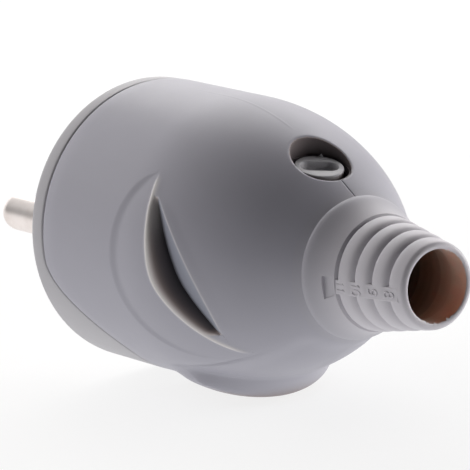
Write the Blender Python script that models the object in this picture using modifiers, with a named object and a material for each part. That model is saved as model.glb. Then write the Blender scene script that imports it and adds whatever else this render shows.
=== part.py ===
"""A rewirable mains plug with two round pins and an earth socket, as separate pieces.

The plug lies along X: its flat engagement face is at x = 0, the pins point to -X and
the stepped cord sleeve points to +X. +Z is the side of the lock screw. The two pins
lie on the Y axis. Sizes are in millimetres and become metres where meshes are made.
"""
import math

import bmesh
import bpy
from mathutils import Matrix, Vector

MM = 0.001

# ---------------------------------------------------------------- clearances
GAP = 0.3             # between neighbouring pieces
FREE_GAP = 0.65       # around the lock screw's head, which a screwdriver turns

# ---------------------------------------------------------------- outer casing
BODY_R = 18.7         # radius of the casing at its front edge
BODY_DRAFT = 0.2      # radius lost by mould draft before the dome starts
BODY_LEN = 45.5       # from the engagement face to the collar
DOME_LEN = 26.0       # of this, the dome
DOME_START = BODY_LEN - DOME_LEN  # where the cylinder turns into the dome
DOME_ARC_R = 38.0     # radius of the dome's arc, seen from the side
DOME_SLOPE = 33.0     # angle of the cone that ends the dome, in degrees
WALL = 2.0            # casing wall
COLLAR_R = 8.95       # rim of the collar at the foot of the sleeve
COLLAR_LEN = 5.0      # from the collar's rim to the first ring
CHAMBER_END = DOME_START + 0.9    # end of the straight part of the hollow

# ---------------------------------------------------------------- cut-to-size sleeve
RING_START = BODY_LEN + COLLAR_LEN  # base edge of the first and widest ring
RING_PITCH = 2.7
RING_COUNT = 4
RING_R = 7.1          # outer radius of the first ring
RING_STEP = 0.49      # each ring is this much smaller than the one before
GROOVE_DEPTH = 0.35   # groove between the rings, below the smaller ring
SLEEVE_BORE = 4.55    # radius of the mouth
LIP_R = 5.15          # rounded rim of the mouth
LABEL_HALF = 1.05     # half the height of the flat strip that carries the sizes
LABEL_DROP = 0.2      # the strip's middle is this far below the plug's axis
LABEL_RISE = 0.1      # the strip stands this much above the first ring
LABEL_POCKET = 2.6    # length of the pocket in the collar in front of the strip

# ---------------------------------------------------------------- parting line
RIM_T = 2.8           # depth of the insert's rim
TONGUE_END = DOME_START - 7.0  # end of the insert's tongue, away from the screw
TONGUE_FROM = 95.0    # angle where the parting line starts to swing back
TONGUE_FULL = 140.0   # angle where it has reached the tongue's end
PART_GAP = 0.3        # visible line between insert and casing

# ---------------------------------------------------------------- finger grips
# A grip is a dished facet that ends in a sharp lip, with a finger slot behind the lip.
# Angles run from the screw's side round to the side away from it.
GRIP_TOP = 48.0       # upper end of the facet
GRIP_MID = 87.0       # angle of its foremost point
GRIP_LOW = 135.5      # lower end of the facet
GRIP_FRONT = DOME_START - 1.6   # foremost point of the facet
GRIP_TOP_X = DOME_START + 5.0   # the facet's front edge curves back to here at its top
GRIP_LOW_X = DOME_START + 15.5  # and to here at its lower end
GRIP_DIP = 1.0        # depth of the dish
GRIP_EDGE = 2.4       # length of the rounded step down into it
GRIP_FADE = 18.0      # the dish fades out over this angle at its lower end
LIP_X = DOME_START + 4.6        # the lip, near its upper end
LIP_LEAN = 0.035      # lean of its upper part, in mm per degree
LIP_TURN = 95.0       # angle where it turns
LIP_RUN = 0.215       # added lean of its lower part
LIP_BLEND = 6.0       # softness of the turn, in degrees
SLOT_MID = 90.0       # angle of the deepest place of the slot
SLOT_HALF = 29.5      # half the slot's angle round the casing
SLOT_FADE = 7.0       # its depth runs out over this angle at its lower end
SLOT_DEPTH = 2.65
SLOT_BACK = DOME_START + 14.9   # rear edge of the slot at its lower end
SLOT_BACK_AT = 116.0
SLOT_CURVE = 0.00274  # how fast that edge runs forward, in mm per degree squared
SLOT_FACE = 0.28      # share of the slot taken by the wall behind the lip

# ---------------------------------------------------------------- pull lobe
LOBE_HALF = 38.5      # half the lobe's angle round the casing
LOBE_START = DOME_START - 4.6
LOBE_SHOULDER = 5.1   # how far its front edge curves back at the sides
LOBE_CREST = DOME_START + 9.4
LOBE_BACK = DOME_START + 13.5
LOBE_CURVE = 0.0065   # how fast its rear edge runs forward, in mm per degree squared
LOBE_SPREAD = 43.7    # angle where its height would reach nothing
LOBE_RISE = 1.74
TAIL_FLAT = 0.4       # the casing is this much flatter behind the lobe

# ---------------------------------------------------------------- lock screw and cord clamp
LOCK_X = DOME_START + 19.4  # where the screw's axis leaves the dome
LOCK_TILT = 15.5      # lean of that axis towards the sleeve, in degrees
HEAD_SINK = 1.4       # depth of the head's face below the dome
HEAD_R = 3.1
HEAD_T = 1.8
SLOT_LEN = 4.8        # screwdriver slot in the head
SLOT_WIDE = 2.5
SLOT_DEEP = 0.9
SLOT_ANGLE = 63.0     # its direction at rest
SHANK_R = 1.6
NECK_R = 0.95
BUSH_WALL = 0.8
LEDGE_T = 1.6         # floor of the screw's boss
BOSS_WALL = 1.25
BOSS_SINK = 1.3       # the boss starts this far below the face of the head
OPENING_EXTRA = 0.35  # the opening in the dome is this much longer than the boss bore
CLAMP_TRAVEL = 2.4    # lift of the saddle from its rest
SADDLE_HALF = 5.3     # half the saddle's width
SADDLE_LEN = 6.8
SADDLE_DEEP = 4.2
CORD_R = 5.4          # radius of the cord cradle
SADDLE_APEX = 2.9     # height of the saddle's arch over the plug's axis
CLIP_T = 0.6
CLIP_R = 2.6

# ---------------------------------------------------------------- insert and carrier
PLATE_T = 3.2         # engagement plate
SPIGOT_T = 1.4        # wall of the skirt that enters the casing
SPIGOT_LAP = 2.5      # how far the skirt reaches past the parting line
FACE_EDGE = 0.6       # rounded edge of the engagement face
CARRIER_T = 3.0
WEB = 1.2             # walls and shelves of the carrier
SPINE_T = 2.4
SPINE_Z = 9.4 - BODY_R      # underside of the carrier's spine
CRADLE_START = LOCK_X - 6.9
CRADLE_END = LOCK_X + 2.1
CRADLE_R = BODY_R - 9.9
GUIDE_WALL = 1.4
GUIDE_TOP = 6.0

# ---------------------------------------------------------------- pins and terminals
PIN_SPACING = 19.0
PIN_R = 2.4
PIN_LEN = 19.0
PIN_SEAT = 1.5        # depth of the plate in front of a pin's collar
COLLAR_PIN_R = 3.6    # collar that holds a pin in the plate
STUD_R = 1.9
TERM_HALF = 3.1       # half the side of a terminal block
TERM_LEN = 9.2
WIRE_R = 1.7          # wire hole in a terminal block
TERM_SCREW_R = 1.45
TERM_HEAD_R = 2.3
TERM_HEAD_T = 1.5
TERM_OPEN = 1.4       # a terminal screw's head stands this far off its block

# ---------------------------------------------------------------- earth contact
EARTH_Z = 10.0        # height of the earth hole over the pins
EARTH_HOLE_R = 3.1    # hole in the engagement plate
EARTH_BORE_R = 2.45   # inside of the socket tube
TUBE_WALL = 0.6
TUBE_END = 17.6
TUBE_SLIT = 0.6
SEAT_R = 3.9          # collar of the socket tube
RING_WIRE = 0.35      # spring rings round the tube
RING_X = (7.8, 9.4)
STRAP_T = 0.8
STRAP_HALF = 2.2
STRAP_START = 10.8
STRAP_DROP = 2.85     # the strap steps down behind the tube
EARTH_TERM_LEN = 7.2
EARTH_TERM_TALL = 5.4

# ---------------------------------------------------------------- small screws
SCREW_INSET = 6.82    # these screws stand this far inside the casing's outside
SCREW_AT = 43.64      # at this angle from the side away from the lock screw
CARRIER_SCREW_Y = (BODY_R - SCREW_INSET) * math.sin(math.radians(SCREW_AT))
CARRIER_SCREW_Z = -(BODY_R - SCREW_INSET) * math.cos(math.radians(SCREW_AT))
SMALL_R = 1.25
SMALL_HEAD_R = 2.2
SPINE_HALF = CARRIER_SCREW_Y - SMALL_HEAD_R - 0.5  # the carrier's spine passes between them
SMALL_HEAD_T = 1.4
SMALL_END = 1.3       # the small screws stop this far behind the engagement face

# ---------------------------------------------------------------- mesh fineness
HALF_ROUND = (0, 6, 12, 18, 24, 30, 36, 42, 48, 51, 55, 60.5, 63, 67, 72, 78, 84, 90, 96, 102,
              108, 113, 117, 119.5, 123, 127, 131, 134, 135.5, 138.5, 141.5, 144.5, 149, 154,
              159, 165, 171, 175.5, 180)  # angles of the sections round one half
ROUND = 28            # sides of a small round piece

AXIS = Vector((1, 0, 0))
UP = Vector((0, 0, 1))

for old in list(bpy.data.objects):
    bpy.data.objects.remove(old, do_unlink=True)

PARTS = bpy.data.collections.new("mains_plug")
TOOLS = bpy.data.collections.new("cutters")
for collection in (PARTS, TOOLS):
    bpy.context.scene.collection.children.link(collection)


# ================================================================ materials
def finish(name, colour, roughness, metallic=0.0):
    """A plain surface; the colour is linear."""
    material = bpy.data.materials.new(name)
    material.use_nodes = True
    shader = material.node_tree.nodes["Principled BSDF"]
    shader.inputs["Base Color"].default_value = (*colour, 1.0)
    shader.inputs["Roughness"].default_value = roughness
    shader.inputs["Metallic"].default_value = metallic
    return material


GREY = finish("casing_grey", (0.30, 0.29, 0.31), 0.42)
INSERT_GREY = finish("insert_grey", (0.33, 0.31, 0.32), 0.45)
INNER_WHITE = finish("carrier_white", (0.62, 0.61, 0.57), 0.5)
NICKEL = finish("pin_nickel", (0.66, 0.62, 0.60), 0.25, 1.0)
BRASS = finish("terminal_brass", (0.72, 0.52, 0.24), 0.35, 1.0)
STEEL = finish("screw_steel", (0.55, 0.55, 0.56), 0.35, 1.0)


# ================================================================ making pieces
def place(mesh, name, material=None):
    """An object for a mesh: a piece if it has a material, otherwise a cutter."""
    piece = bpy.data.objects.new(name, mesh)
    if material is None:
        TOOLS.objects.link(piece)
        piece.hide_render = True
        piece.display_type = "WIRE"
    else:
        PARTS.objects.link(piece)
        mesh.materials.append(material)
    return piece


def to_mesh(bm, name, smooth_angle=32.0):
    bmesh.ops.recalc_face_normals(bm, faces=bm.faces)
    mesh = bpy.data.meshes.new(name)
    bm.to_mesh(mesh)
    bm.free()
    mesh.shade_smooth()
    mesh.set_sharp_from_angle(angle=math.radians(smooth_angle))
    return mesh


def frame_along(start, direction):
    """A matrix that takes the local Z axis to a direction, with its origin at start."""
    turn = UP.rotation_difference(Vector(direction)).to_matrix().to_4x4()
    return Matrix.Translation(Vector(start) * MM) @ turn


def block(name, low, high, material=None, matrix=None):
    """A box between two corners."""
    low, high = Vector(low) * MM, Vector(high) * MM
    bm = bmesh.new()
    bmesh.ops.create_cube(bm, size=1.0)
    size = high - low
    bmesh.ops.transform(bm, matrix=Matrix.Diagonal((*size, 1.0)), verts=bm.verts)
    bmesh.ops.translate(bm, vec=(low + high) / 2, verts=bm.verts)
    piece = place(to_mesh(bm, name), name, material)
    if matrix is not None:
        piece.matrix_world = matrix
    return piece


def rod(name, radius, start, end, material=None, sides=ROUND, matrix=None):
    """A plain round bar between two points."""
    start, end = Vector(start), Vector(end)
    bm = bmesh.new()
    bmesh.ops.create_cone(bm, cap_ends=True, segments=sides, radius1=radius * MM,
                          radius2=radius * MM, depth=(end - start).length * MM)
    piece = place(to_mesh(bm, name), name, material)
    along = frame_along((start + end) / 2, end - start)
    piece.matrix_world = along if matrix is None else matrix @ along
    return piece


def turned(name, outline, start, direction, material=None, closed=False, sides=ROUND):
    """A lathe piece. The outline lists (radius, height) down the outer side."""
    bm = bmesh.new()
    points = [bm.verts.new((radius * MM, 0.0, height * MM)) for radius, height in outline]
    for first, second in zip(points, points[1:]):
        bm.edges.new((first, second))
    if closed:
        bm.edges.new((points[-1], points[0]))
    mesh = bpy.data.meshes.new(name)
    bm.to_mesh(mesh)
    bm.free()
    piece = place(mesh, name, material)
    piece.matrix_world = frame_along(start, direction)
    spin = piece.modifiers.new("lathe", "SCREW")
    spin.axis = "Z"
    spin.steps = spin.render_steps = sides
    spin.use_merge_vertices = True
    spin.merge_threshold = 0.000001
    spin.use_smooth_shade = True
    return piece


def flat_outline(name, points, low, high, matrix, material=None):
    """A plate cut along a flat outline, from low to high across the outline's plane."""
    curve = bpy.data.curves.new(name, "CURVE")
    curve.dimensions = "2D"
    curve.fill_mode = "BOTH"
    curve.extrude = (high - low) / 2 * MM
    spline = curve.splines.new("POLY")
    spline.points.add(len(points) - 1)
    for point, (across, along) in zip(spline.points, points):
        point.co = (across * MM, along * MM, 0.0, 1.0)
    spline.use_cyclic_u = True
    guide = bpy.data.objects.new(name + "_curve", curve)
    TOOLS.objects.link(guide)
    guide.matrix_world = matrix @ Matrix.Translation((0, 0, (high + low) / 2 * MM))
    bpy.context.view_layer.update()
    evaluated = guide.evaluated_get(bpy.context.evaluated_depsgraph_get())
    mesh = bpy.data.meshes.new_from_object(evaluated)
    mesh.transform(guide.matrix_world)
    bpy.data.objects.remove(guide)
    bm = bmesh.new()
    bm.from_mesh(mesh)
    bmesh.ops.remove_doubles(bm, verts=bm.verts, dist=0.000001)
    mesh.materials.clear()
    bpy.data.meshes.remove(mesh)
    return place(to_mesh(bm, name), name, material)


def loft(name, sections, closed, material=None):
    """A skin over sections that stand round the X axis.

    With closed sections the skin is a tube with a wall; otherwise its two ends are
    filled with flat faces.
    """
    bm = bmesh.new()
    grid = [[bm.verts.new(point) for point in section] for section in sections]
    steps = len(sections[0]) if closed else len(sections[0]) - 1
    for this, following in zip(grid, grid[1:] + grid[:1]):
        for index in range(steps):
            after = (index + 1) % len(this)
            bm.faces.new((this[index], this[after], following[after], following[index]))
    if not closed:
        bm.faces.new([section[0] for section in grid])
        bm.faces.new([section[-1] for section in grid])
    return place(to_mesh(bm, name), name, material)


def boolean(piece, tool, operation):
    step = piece.modifiers.new(operation.lower(), "BOOLEAN")
    step.operation = operation
    step.object = tool
    step.solver = "EXACT"


def cut(piece, *tools):
    for tool in tools:
        boolean(piece, tool, "DIFFERENCE")


def join(piece, *tools):
    for tool in tools:
        boolean(piece, tool, "UNION")


def section_angles():
    """Angles of the sections all the way round, the same on both halves."""
    return list(HALF_ROUND) + [360.0 - angle for angle in reversed(HALF_ROUND[1:-1])]


def smooth_step(value):
    value = min(max(value, 0.0), 1.0)
    return value * value * (3.0 - 2.0 * value)


def on_section(x, radius, angle):
    """A point of the casing. The angle runs from the screw's side (+Z) towards -Y."""
    turn = math.radians(angle)
    return Vector((x, -radius * math.sin(turn), radius * math.cos(turn))) * MM


# ================================================================ shape of the casing
def body_radius(x):
    """Plain casing: drafted cylinder, then an arc, then a cone."""
    if x <= DOME_START:
        return BODY_R - BODY_DRAFT * max(x, 0.0) / DOME_START
    arc_end = DOME_START + DOME_ARC_R * math.sin(math.radians(DOME_SLOPE))
    reach = min(x, arc_end) - DOME_START
    radius = BODY_R - BODY_DRAFT - DOME_ARC_R + math.sqrt(DOME_ARC_R ** 2 - reach ** 2)
    return radius - max(x - arc_end, 0.0) * math.tan(math.radians(DOME_SLOPE))


def parting(angle):
    """Where the casing meets the insert, at an angle between 0 and 360 degrees."""
    off_top = min(angle, 360.0 - angle)
    swing = smooth_step((off_top - TONGUE_FROM) / (TONGUE_FULL - TONGUE_FROM))
    return RIM_T + (TONGUE_END - RIM_T) * swing


def arch(offset, half):
    """One in the middle of an angle range, falling to zero at its ends."""
    return math.sqrt(max(1.0 - (offset / half) ** 2, 0.0))


def blend(low, high, share):
    return low + (high - low) * share


def grip_lines(off_top):
    """Front edge, lip, slot bottom and rear edge of a side grip at an angle."""
    if off_top < GRIP_MID:
        front = blend(GRIP_TOP_X, GRIP_FRONT, arch(GRIP_MID - off_top, GRIP_MID - GRIP_TOP))
    else:
        front = blend(GRIP_LOW_X, GRIP_FRONT, arch(off_top - GRIP_MID, GRIP_LOW - GRIP_MID))
    turn = off_top - LIP_TURN
    lip = (LIP_X + LIP_LEAN * (off_top - GRIP_TOP)
           + LIP_RUN * (math.hypot(turn, LIP_BLEND) + turn) / 2)
    back = SLOT_BACK - SLOT_CURVE * min(off_top - SLOT_BACK_AT, 0.0) ** 2
    back = max(back, lip + 0.6)
    to_end = smooth_step((off_top - SLOT_MID - 0.55 * SLOT_HALF) / (0.45 * SLOT_HALF))
    foot = blend(lip, back, blend(SLOT_FACE, 0.8, to_end))
    return min(front, lip - 0.5), lip, foot, back


def grip_relief(x, off_top):
    """How far the casing lies above its plain form in a grip, always zero or less."""
    if not GRIP_TOP < off_top < GRIP_LOW:
        return 0.0
    front, lip, foot, back = grip_lines(off_top)
    if front < x < lip:
        dip = (GRIP_DIP * min((lip - front - 0.5) / 4.0, 1.0)
               * smooth_step((GRIP_LOW + 1.0 - off_top) / GRIP_FADE))
        edge = min(GRIP_EDGE, 0.45 * (lip - front))
        if x < front + edge:
            return -dip * smooth_step((x - front) / edge)
        return -dip * (lip - x) / (lip - front - edge)
    to_end = min(max(SLOT_MID + SLOT_HALF - off_top, 0.0) / SLOT_FADE, 1.0)
    drop = SLOT_DEPTH * arch(off_top - SLOT_MID, SLOT_HALF) * to_end
    if lip <= x <= foot:
        return -drop * math.sin(math.pi / 2 * (x - lip) / (foot - lip))
    if foot < x < back:
        share = (back - x) / (back - foot)
        return -drop * (0.25 * smooth_step(share) + 0.75 * share)
    return 0.0


def lobe_lines(off_bottom):
    """Start, crest and rear edge of the pull lobe, at an angle from its middle."""
    side = min(off_bottom / LOBE_HALF, 1.0)
    start = LOBE_START + LOBE_SHOULDER * (1.0 - math.sqrt(1.0 - side ** 4))
    crest = LOBE_START + (LOBE_CREST - LOBE_START) * arch(off_bottom, LOBE_SPREAD)
    back = LOBE_BACK - LOBE_CURVE * min(off_bottom, LOBE_HALF) ** 2
    return start, min(max(crest, start + 1.0), back - 1.0), back


def lobe_relief(x, off_bottom):
    """Height of the pull lobe over the plain form, and the flat behind it."""
    if off_bottom > LOBE_HALF + 8.0:
        return 0.0
    start, crest, back = lobe_lines(off_bottom)
    height = (LOBE_RISE * arch(off_bottom, LOBE_SPREAD)
              * smooth_step((LOBE_HALF - off_bottom) / 7.0))
    flat = -(TAIL_FLAT * smooth_step((LOBE_HALF + 8.0 - off_bottom) / 16.0)
             * smooth_step((x - back + 1.0) / 2.0) * smooth_step((BODY_LEN - 0.7 - x) / 3.5))
    if start < x < crest:
        return height * smooth_step((x - start) / (crest - start))
    if crest <= x < back:
        return flat + height * smooth_step((back - x) / (back - crest))
    return flat


def outer_radius(x, angle):
    """Outside of the casing, with its grips and its lobe."""
    off_top = min(angle, 360.0 - angle)
    return body_radius(x) + grip_relief(x, off_top) + lobe_relief(x, 180.0 - off_top)


def feature_lines(off_top):
    """Four lines that the sections follow round the casing, in order along X."""
    grip = grip_lines(min(max(off_top, GRIP_TOP), GRIP_LOW))
    if off_top < GRIP_TOP:
        even = [DOME_START + share * DOME_LEN for share in (-0.096, 0.096, 0.27, 0.442)]
        share = smooth_step((GRIP_TOP - off_top) / 14.0)
        return [blend(line, plain, share) for line, plain in zip(grip, even)]
    if off_top > GRIP_LOW:
        start, crest, back = lobe_lines(180.0 - off_top)
        lobe = (start, crest, blend(crest, back, 0.6), back)
        share = smooth_step((off_top - GRIP_LOW) / (180.0 - LOBE_HALF - GRIP_LOW))
        return [blend(line, other, share) for line, other in zip(grip, lobe)]
    return list(grip)


def casing_outline(angle):
    """(x, radius) down the outside of the casing, from its front edge to the collar."""
    off_top = min(angle, 360.0 - angle)
    first = parting(angle) + PART_GAP / 2
    front, lip, foot, back = feature_lines(off_top)
    front = max(front, first + 1.0)
    spans = ((first, front, (0.0, 0.35, 0.7)), (front, lip, (0.0, 0.12, 0.25, 0.4, 0.7)),
             (lip, foot, (0.0, 0.33, 0.66)), (foot, back, (0.0, 0.33, 0.66)),
             (back, BODY_LEN, (0.0, 0.2, 0.4, 0.6, 0.8, 1.0)))
    stations = [low + (high - low) * part for low, high, parts in spans for part in parts]
    return [(x, outer_radius(x, angle)) for x in stations]


def sleeve_outline():
    """(x, radius) over the collar and the rings, as far as the rounded mouth."""
    points = [(BODY_LEN + 0.3, COLLAR_R), (BODY_LEN + 0.9, COLLAR_R - 0.12),
              (RING_START - 0.5, RING_R + 0.25)]
    for ring in range(RING_COUNT):
        edge = RING_START + ring * RING_PITCH
        radius = RING_R - ring * RING_STEP
        points.append((edge - 0.25, radius - GROOVE_DEPTH))
        points.append((edge, radius))
        points.append((edge + 0.45 * RING_PITCH, radius - 0.08))
        points.append((edge + 0.72 * RING_PITCH, radius - 0.32))
    points.append((sleeve_end() - 0.35, LIP_R))
    points.append((sleeve_end(), LIP_R - 0.3))
    return points


def sleeve_end():
    return RING_START + RING_COUNT * RING_PITCH - 0.3


def hollow_radius(x):
    """Inside of the dome, which leaves room for the grips' slots."""
    inset = (smooth_step((x - CHAMBER_END) / 4.6)
             * smooth_step((DOME_START + 18.5 - x) / 5.0))
    return body_radius(x) - WALL - (SLOT_DEPTH - 0.45) * inset


def hollow_outline(angle):
    """(x, radius) up the inside, from the mouth back to the front edge."""
    points = []
    for ring in reversed(range(RING_COUNT)):
        bore = SLEEVE_BORE + (RING_COUNT - 1 - ring) * RING_STEP
        edge = RING_START + ring * RING_PITCH
        far = sleeve_end() if ring == RING_COUNT - 1 else edge + RING_PITCH - 0.9
        points.append((far, bore))
        points.append((edge - 0.9, bore))
    throat = SLEEVE_BORE + RING_COUNT * RING_STEP
    points.append((RING_START - 1.6, throat))
    points.append((BODY_LEN + 1.0, throat + 0.4))
    for share in (0.962, 0.846, 0.712, 0.558, 0.404, 0.25, 0.173, 0.096):
        x = DOME_START + share * DOME_LEN
        points.append((x, hollow_radius(x)))
    points.append((CHAMBER_END, BODY_R - WALL))
    points.append((parting(angle) + PART_GAP / 2, BODY_R - WALL))
    return points


# ================================================================ lock screw frame
SCREW_OUT = Vector((math.sin(math.radians(LOCK_TILT)), 0, math.cos(math.radians(LOCK_TILT))))
HEAD_POINT = Vector((LOCK_X, 0, body_radius(LOCK_X))) - HEAD_SINK * SCREW_OUT
SCREW_FRAME = frame_along(HEAD_POINT, SCREW_OUT)

# heights along the screw's axis, measured outwards from the face of its head
HEAD_BASE = -HEAD_T
LEDGE_TOP = HEAD_BASE - GAP
LEDGE_BASE = LEDGE_TOP - LEDGE_T
SADDLE_TOP = LEDGE_BASE - GAP - CLAMP_TRAVEL
CLIP_TOP = SADDLE_TOP - GAP
CLIP_BASE = CLIP_TOP - CLIP_T
NECK_BASE = CLIP_BASE - GAP
TIP_BASE = NECK_BASE - CLIP_T
SOCKET_BASE = TIP_BASE - GAP


def make_housing():
    """Casing, dome, collar and cord sleeve are one moulding, open at both ends."""
    sections = []
    for angle in section_angles():
        outline = casing_outline(angle) + sleeve_outline() + hollow_outline(angle)
        sections.append([on_section(x, radius, angle) for x, radius in outline])
    housing = loft("housing", sections, True, GREY)

    bore = HEAD_R + FREE_GAP
    boss = rod("boss_tool", bore + BOSS_WALL, (0, 0, -BOSS_SINK), (0, 0, LEDGE_BASE),
               matrix=SCREW_FRAME)
    above = HEAD_SINK + 2 * HEAD_T
    head_bore = rod("head_bore_tool", bore, (0, 0, LEDGE_TOP), (0, 0, above),
                    matrix=SCREW_FRAME)
    bush_bore = rod("bush_bore_tool", SHANK_R + GAP + BUSH_WALL + GAP,
                    (0, 0, LEDGE_BASE - 3), (0, 0, LEDGE_TOP + 1), matrix=SCREW_FRAME)
    opening = rod("opening_tool", bore, (0, 0, -0.4), (0, 0, above), matrix=SCREW_FRAME)
    stretch = (bore + OPENING_EXTRA) / bore
    opening.matrix_world = (SCREW_FRAME @ Matrix.Translation((OPENING_EXTRA * 0.4 * MM, 0, 0))
                            @ Matrix.Diagonal((stretch, 1, 1, 1))
                            @ SCREW_FRAME.inverted() @ opening.matrix_world)
    join(housing, boss)
    cut(housing, head_bore, bush_bore, opening)

    label_x = RING_START - 0.6
    end = sleeve_end() - 0.6
    first = RING_R + LABEL_RISE
    last = RING_R - (RING_COUNT - 1) * RING_STEP - 0.15
    slope = (last - first) / (end - label_x)
    core = SLEEVE_BORE + RING_COUNT * RING_STEP
    side = Matrix.Rotation(math.pi, 4, "X")
    strip = flat_outline("label_tool", [(label_x, first), (end, last),
                                        (end, SLEEVE_BORE + 0.4), (label_x, core + 0.4)],
                         LABEL_DROP - LABEL_HALF, LABEL_DROP + LABEL_HALF, side)
    pocket_x = label_x - LABEL_POCKET
    pocket = flat_outline("pocket_tool", [(pocket_x, first - slope * LABEL_POCKET),
                                          (pocket_x, COLLAR_R + 2), (label_x, COLLAR_R + 2),
                                          (label_x, first)],
                          LABEL_DROP - LABEL_HALF, LABEL_DROP + LABEL_HALF, side)
    join(housing, strip)
    cut(housing, pocket)
    return housing


def make_front_insert():
    """Engagement plate with its rim, tongue and skirt."""
    skirt_r = BODY_R - WALL - GAP
    inner = skirt_r - SPIGOT_T
    rim_r = BODY_R - 0.1
    sections = []
    for angle in section_angles():
        line = parting(angle) - PART_GAP / 2
        end = parting(angle) + SPIGOT_LAP
        outline = [(0.0, rim_r - FACE_EDGE), (FACE_EDGE * 0.3, rim_r - FACE_EDGE * 0.3),
                   (FACE_EDGE, rim_r), (line, rim_r), (line, skirt_r), (end, skirt_r),
                   (end, inner), (PLATE_T, inner)]
        sections.append([on_section(x, radius, angle) for x, radius in outline])
    insert = loft("front_insert", sections, False, INSERT_GREY)
    for side in (1, -1):
        y = side * PIN_SPACING / 2
        cut(insert,
            rod("pin_hole_tool", PIN_R + GAP, (-2, y, 0), (PLATE_T + 2, y, 0)),
            rod("collar_seat_tool", COLLAR_PIN_R + GAP, (PIN_SEAT, y, 0), (PLATE_T + 2, y, 0)),
            rod("small_hole_tool", SMALL_R + GAP, (SMALL_END - GAP, side * CARRIER_SCREW_Y,
                                                  CARRIER_SCREW_Z),
                (PLATE_T + 2, side * CARRIER_SCREW_Y, CARRIER_SCREW_Z)))
    cut(insert,
        rod("earth_hole_tool", EARTH_HOLE_R, (-2, 0, EARTH_Z), (PLATE_T + 2, 0, EARTH_Z)),
        rod("tube_seat_tool", SEAT_R + GAP, (PIN_SEAT, 0, EARTH_Z), (PLATE_T + 2, 0, EARTH_Z)))
    return insert


# heights and lengths shared by the carrier and what it holds
CARRIER_X = PLATE_T + GAP
CARRIER_BACK = CARRIER_X + CARRIER_T
TERM_X = CARRIER_BACK + GAP
TERM_BACK = TERM_X + TERM_LEN
PIN_Y = PIN_SPACING / 2
TUBE_R = EARTH_BORE_R + TUBE_WALL
STRAP_TOP = EARTH_Z - TUBE_R - GAP
SHELF_TOP = STRAP_TOP - STRAP_T - GAP
EARTH_TERM_X = TUBE_END + 0.8
EARTH_TERM_BACK = EARTH_TERM_X + EARTH_TERM_LEN
STRAP_BEND = EARTH_TERM_X - 2.9
EARTH_TERM_BASE = STRAP_TOP - STRAP_DROP + GAP
LOW_SHELF_TOP = STRAP_TOP - STRAP_DROP - STRAP_T - GAP
TERM_SCREW_X = TERM_X + 0.72 * TERM_LEN
EARTH_SCREW_X = EARTH_TERM_X + 0.5 * EARTH_TERM_LEN
EARTH_TERM_TOP = EARTH_TERM_BASE + EARTH_TERM_TALL


def make_carrier():
    """Inner moulding: terminal chambers, spine and cord cradle."""
    radius = BODY_R - WALL - GAP - SPIGOT_T - GAP
    carrier = rod("contact_carrier", radius, (CARRIER_X, 0, 0), (CARRIER_BACK, 0, 0),
                  INNER_WHITE, sides=48)
    barrier = PIN_Y - TERM_HALF - GAP
    outer = PIN_Y + TERM_HALF + GAP
    floor = -TERM_HALF - GAP
    root = CARRIER_BACK - 0.2
    spine_top = SPINE_Z + SPINE_T
    lap = 0.15
    walls = []
    for side in (1, -1):
        def wall(name, x0, x1, y0, y1, z0, z1):
            near, far = sorted((side * y0, side * y1))
            walls.append(block(name, (x0, near, z0), (x1, far, z1)))
        wall("barrier_tool", root, TERM_BACK + 0.5, barrier - WEB, barrier,
             spine_top - 0.5, SHELF_TOP)
        wall("floor_tool", root, TERM_BACK + 0.4, barrier - WEB / 2, outer + WEB / 2,
             floor - WEB, floor)
        wall("outer_wall_tool", root, TERM_BACK + 0.3, outer, outer + WEB,
             floor - WEB - lap, floor + 4.5)
        wall("earth_cheek_tool", TERM_BACK - 0.5, EARTH_TERM_BACK + 0.4, barrier - WEB + lap,
             barrier - lap, LOW_SHELF_TOP - WEB + lap, SHELF_TOP - lap)
    walls.append(block("shelf_tool", (root, -barrier + lap, SHELF_TOP - WEB),
                       (STRAP_BEND - GAP, barrier - lap, SHELF_TOP - lap / 2)))
    walls.append(block("low_shelf_tool", (TERM_BACK - 0.3, -barrier + 2 * lap,
                                          LOW_SHELF_TOP - WEB),
                       (EARTH_TERM_BACK + 0.2, barrier - 2 * lap, LOW_SHELF_TOP)))
    walls.append(block("spine_tool", (root, -SPINE_HALF, SPINE_Z),
                       (CRADLE_START + 3, SPINE_HALF, spine_top)))

    trough = rod("cradle_tool", CRADLE_R, (CRADLE_START, 0, 0), (CRADLE_END, 0, 0), sides=40)
    clear = rod("cord_tool", CORD_R, (CRADLE_START - 6, 0, 0), (CRADLE_END + 4, 0, 0), sides=40)
    top_half = block("top_half_tool", (CRADLE_START - 1, -20, 0), (CRADLE_END + 1, 20, 20))
    cut(trough, top_half)
    walls.append(trough)
    for side in (1, -1):
        near, far = sorted((side * (SADDLE_HALF + GAP),
                            side * (SADDLE_HALF + GAP + GUIDE_WALL)))
        walls.append(block("guide_tool", (CRADLE_START + 0.2, near, -2.0),
                           (CRADLE_END - 0.2, far, GUIDE_TOP)))
    join(carrier, *walls)
    cut(carrier, clear)
    for side in (1, -1):
        cut(carrier,
            rod("stud_hole_tool", STUD_R + GAP, (0, side * PIN_Y, 0),
                (CARRIER_BACK + 2, side * PIN_Y, 0)),
            rod("screw_hole_tool", SMALL_R + GAP, (0, side * CARRIER_SCREW_Y, CARRIER_SCREW_Z),
                (CARRIER_BACK + 2, side * CARRIER_SCREW_Y, CARRIER_SCREW_Z)))
    cut(carrier, rod("tube_hole_tool", TUBE_R + GAP, (0, 0, EARTH_Z),
                     (CARRIER_BACK + 2, 0, EARTH_Z)))
    return carrier


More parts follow.
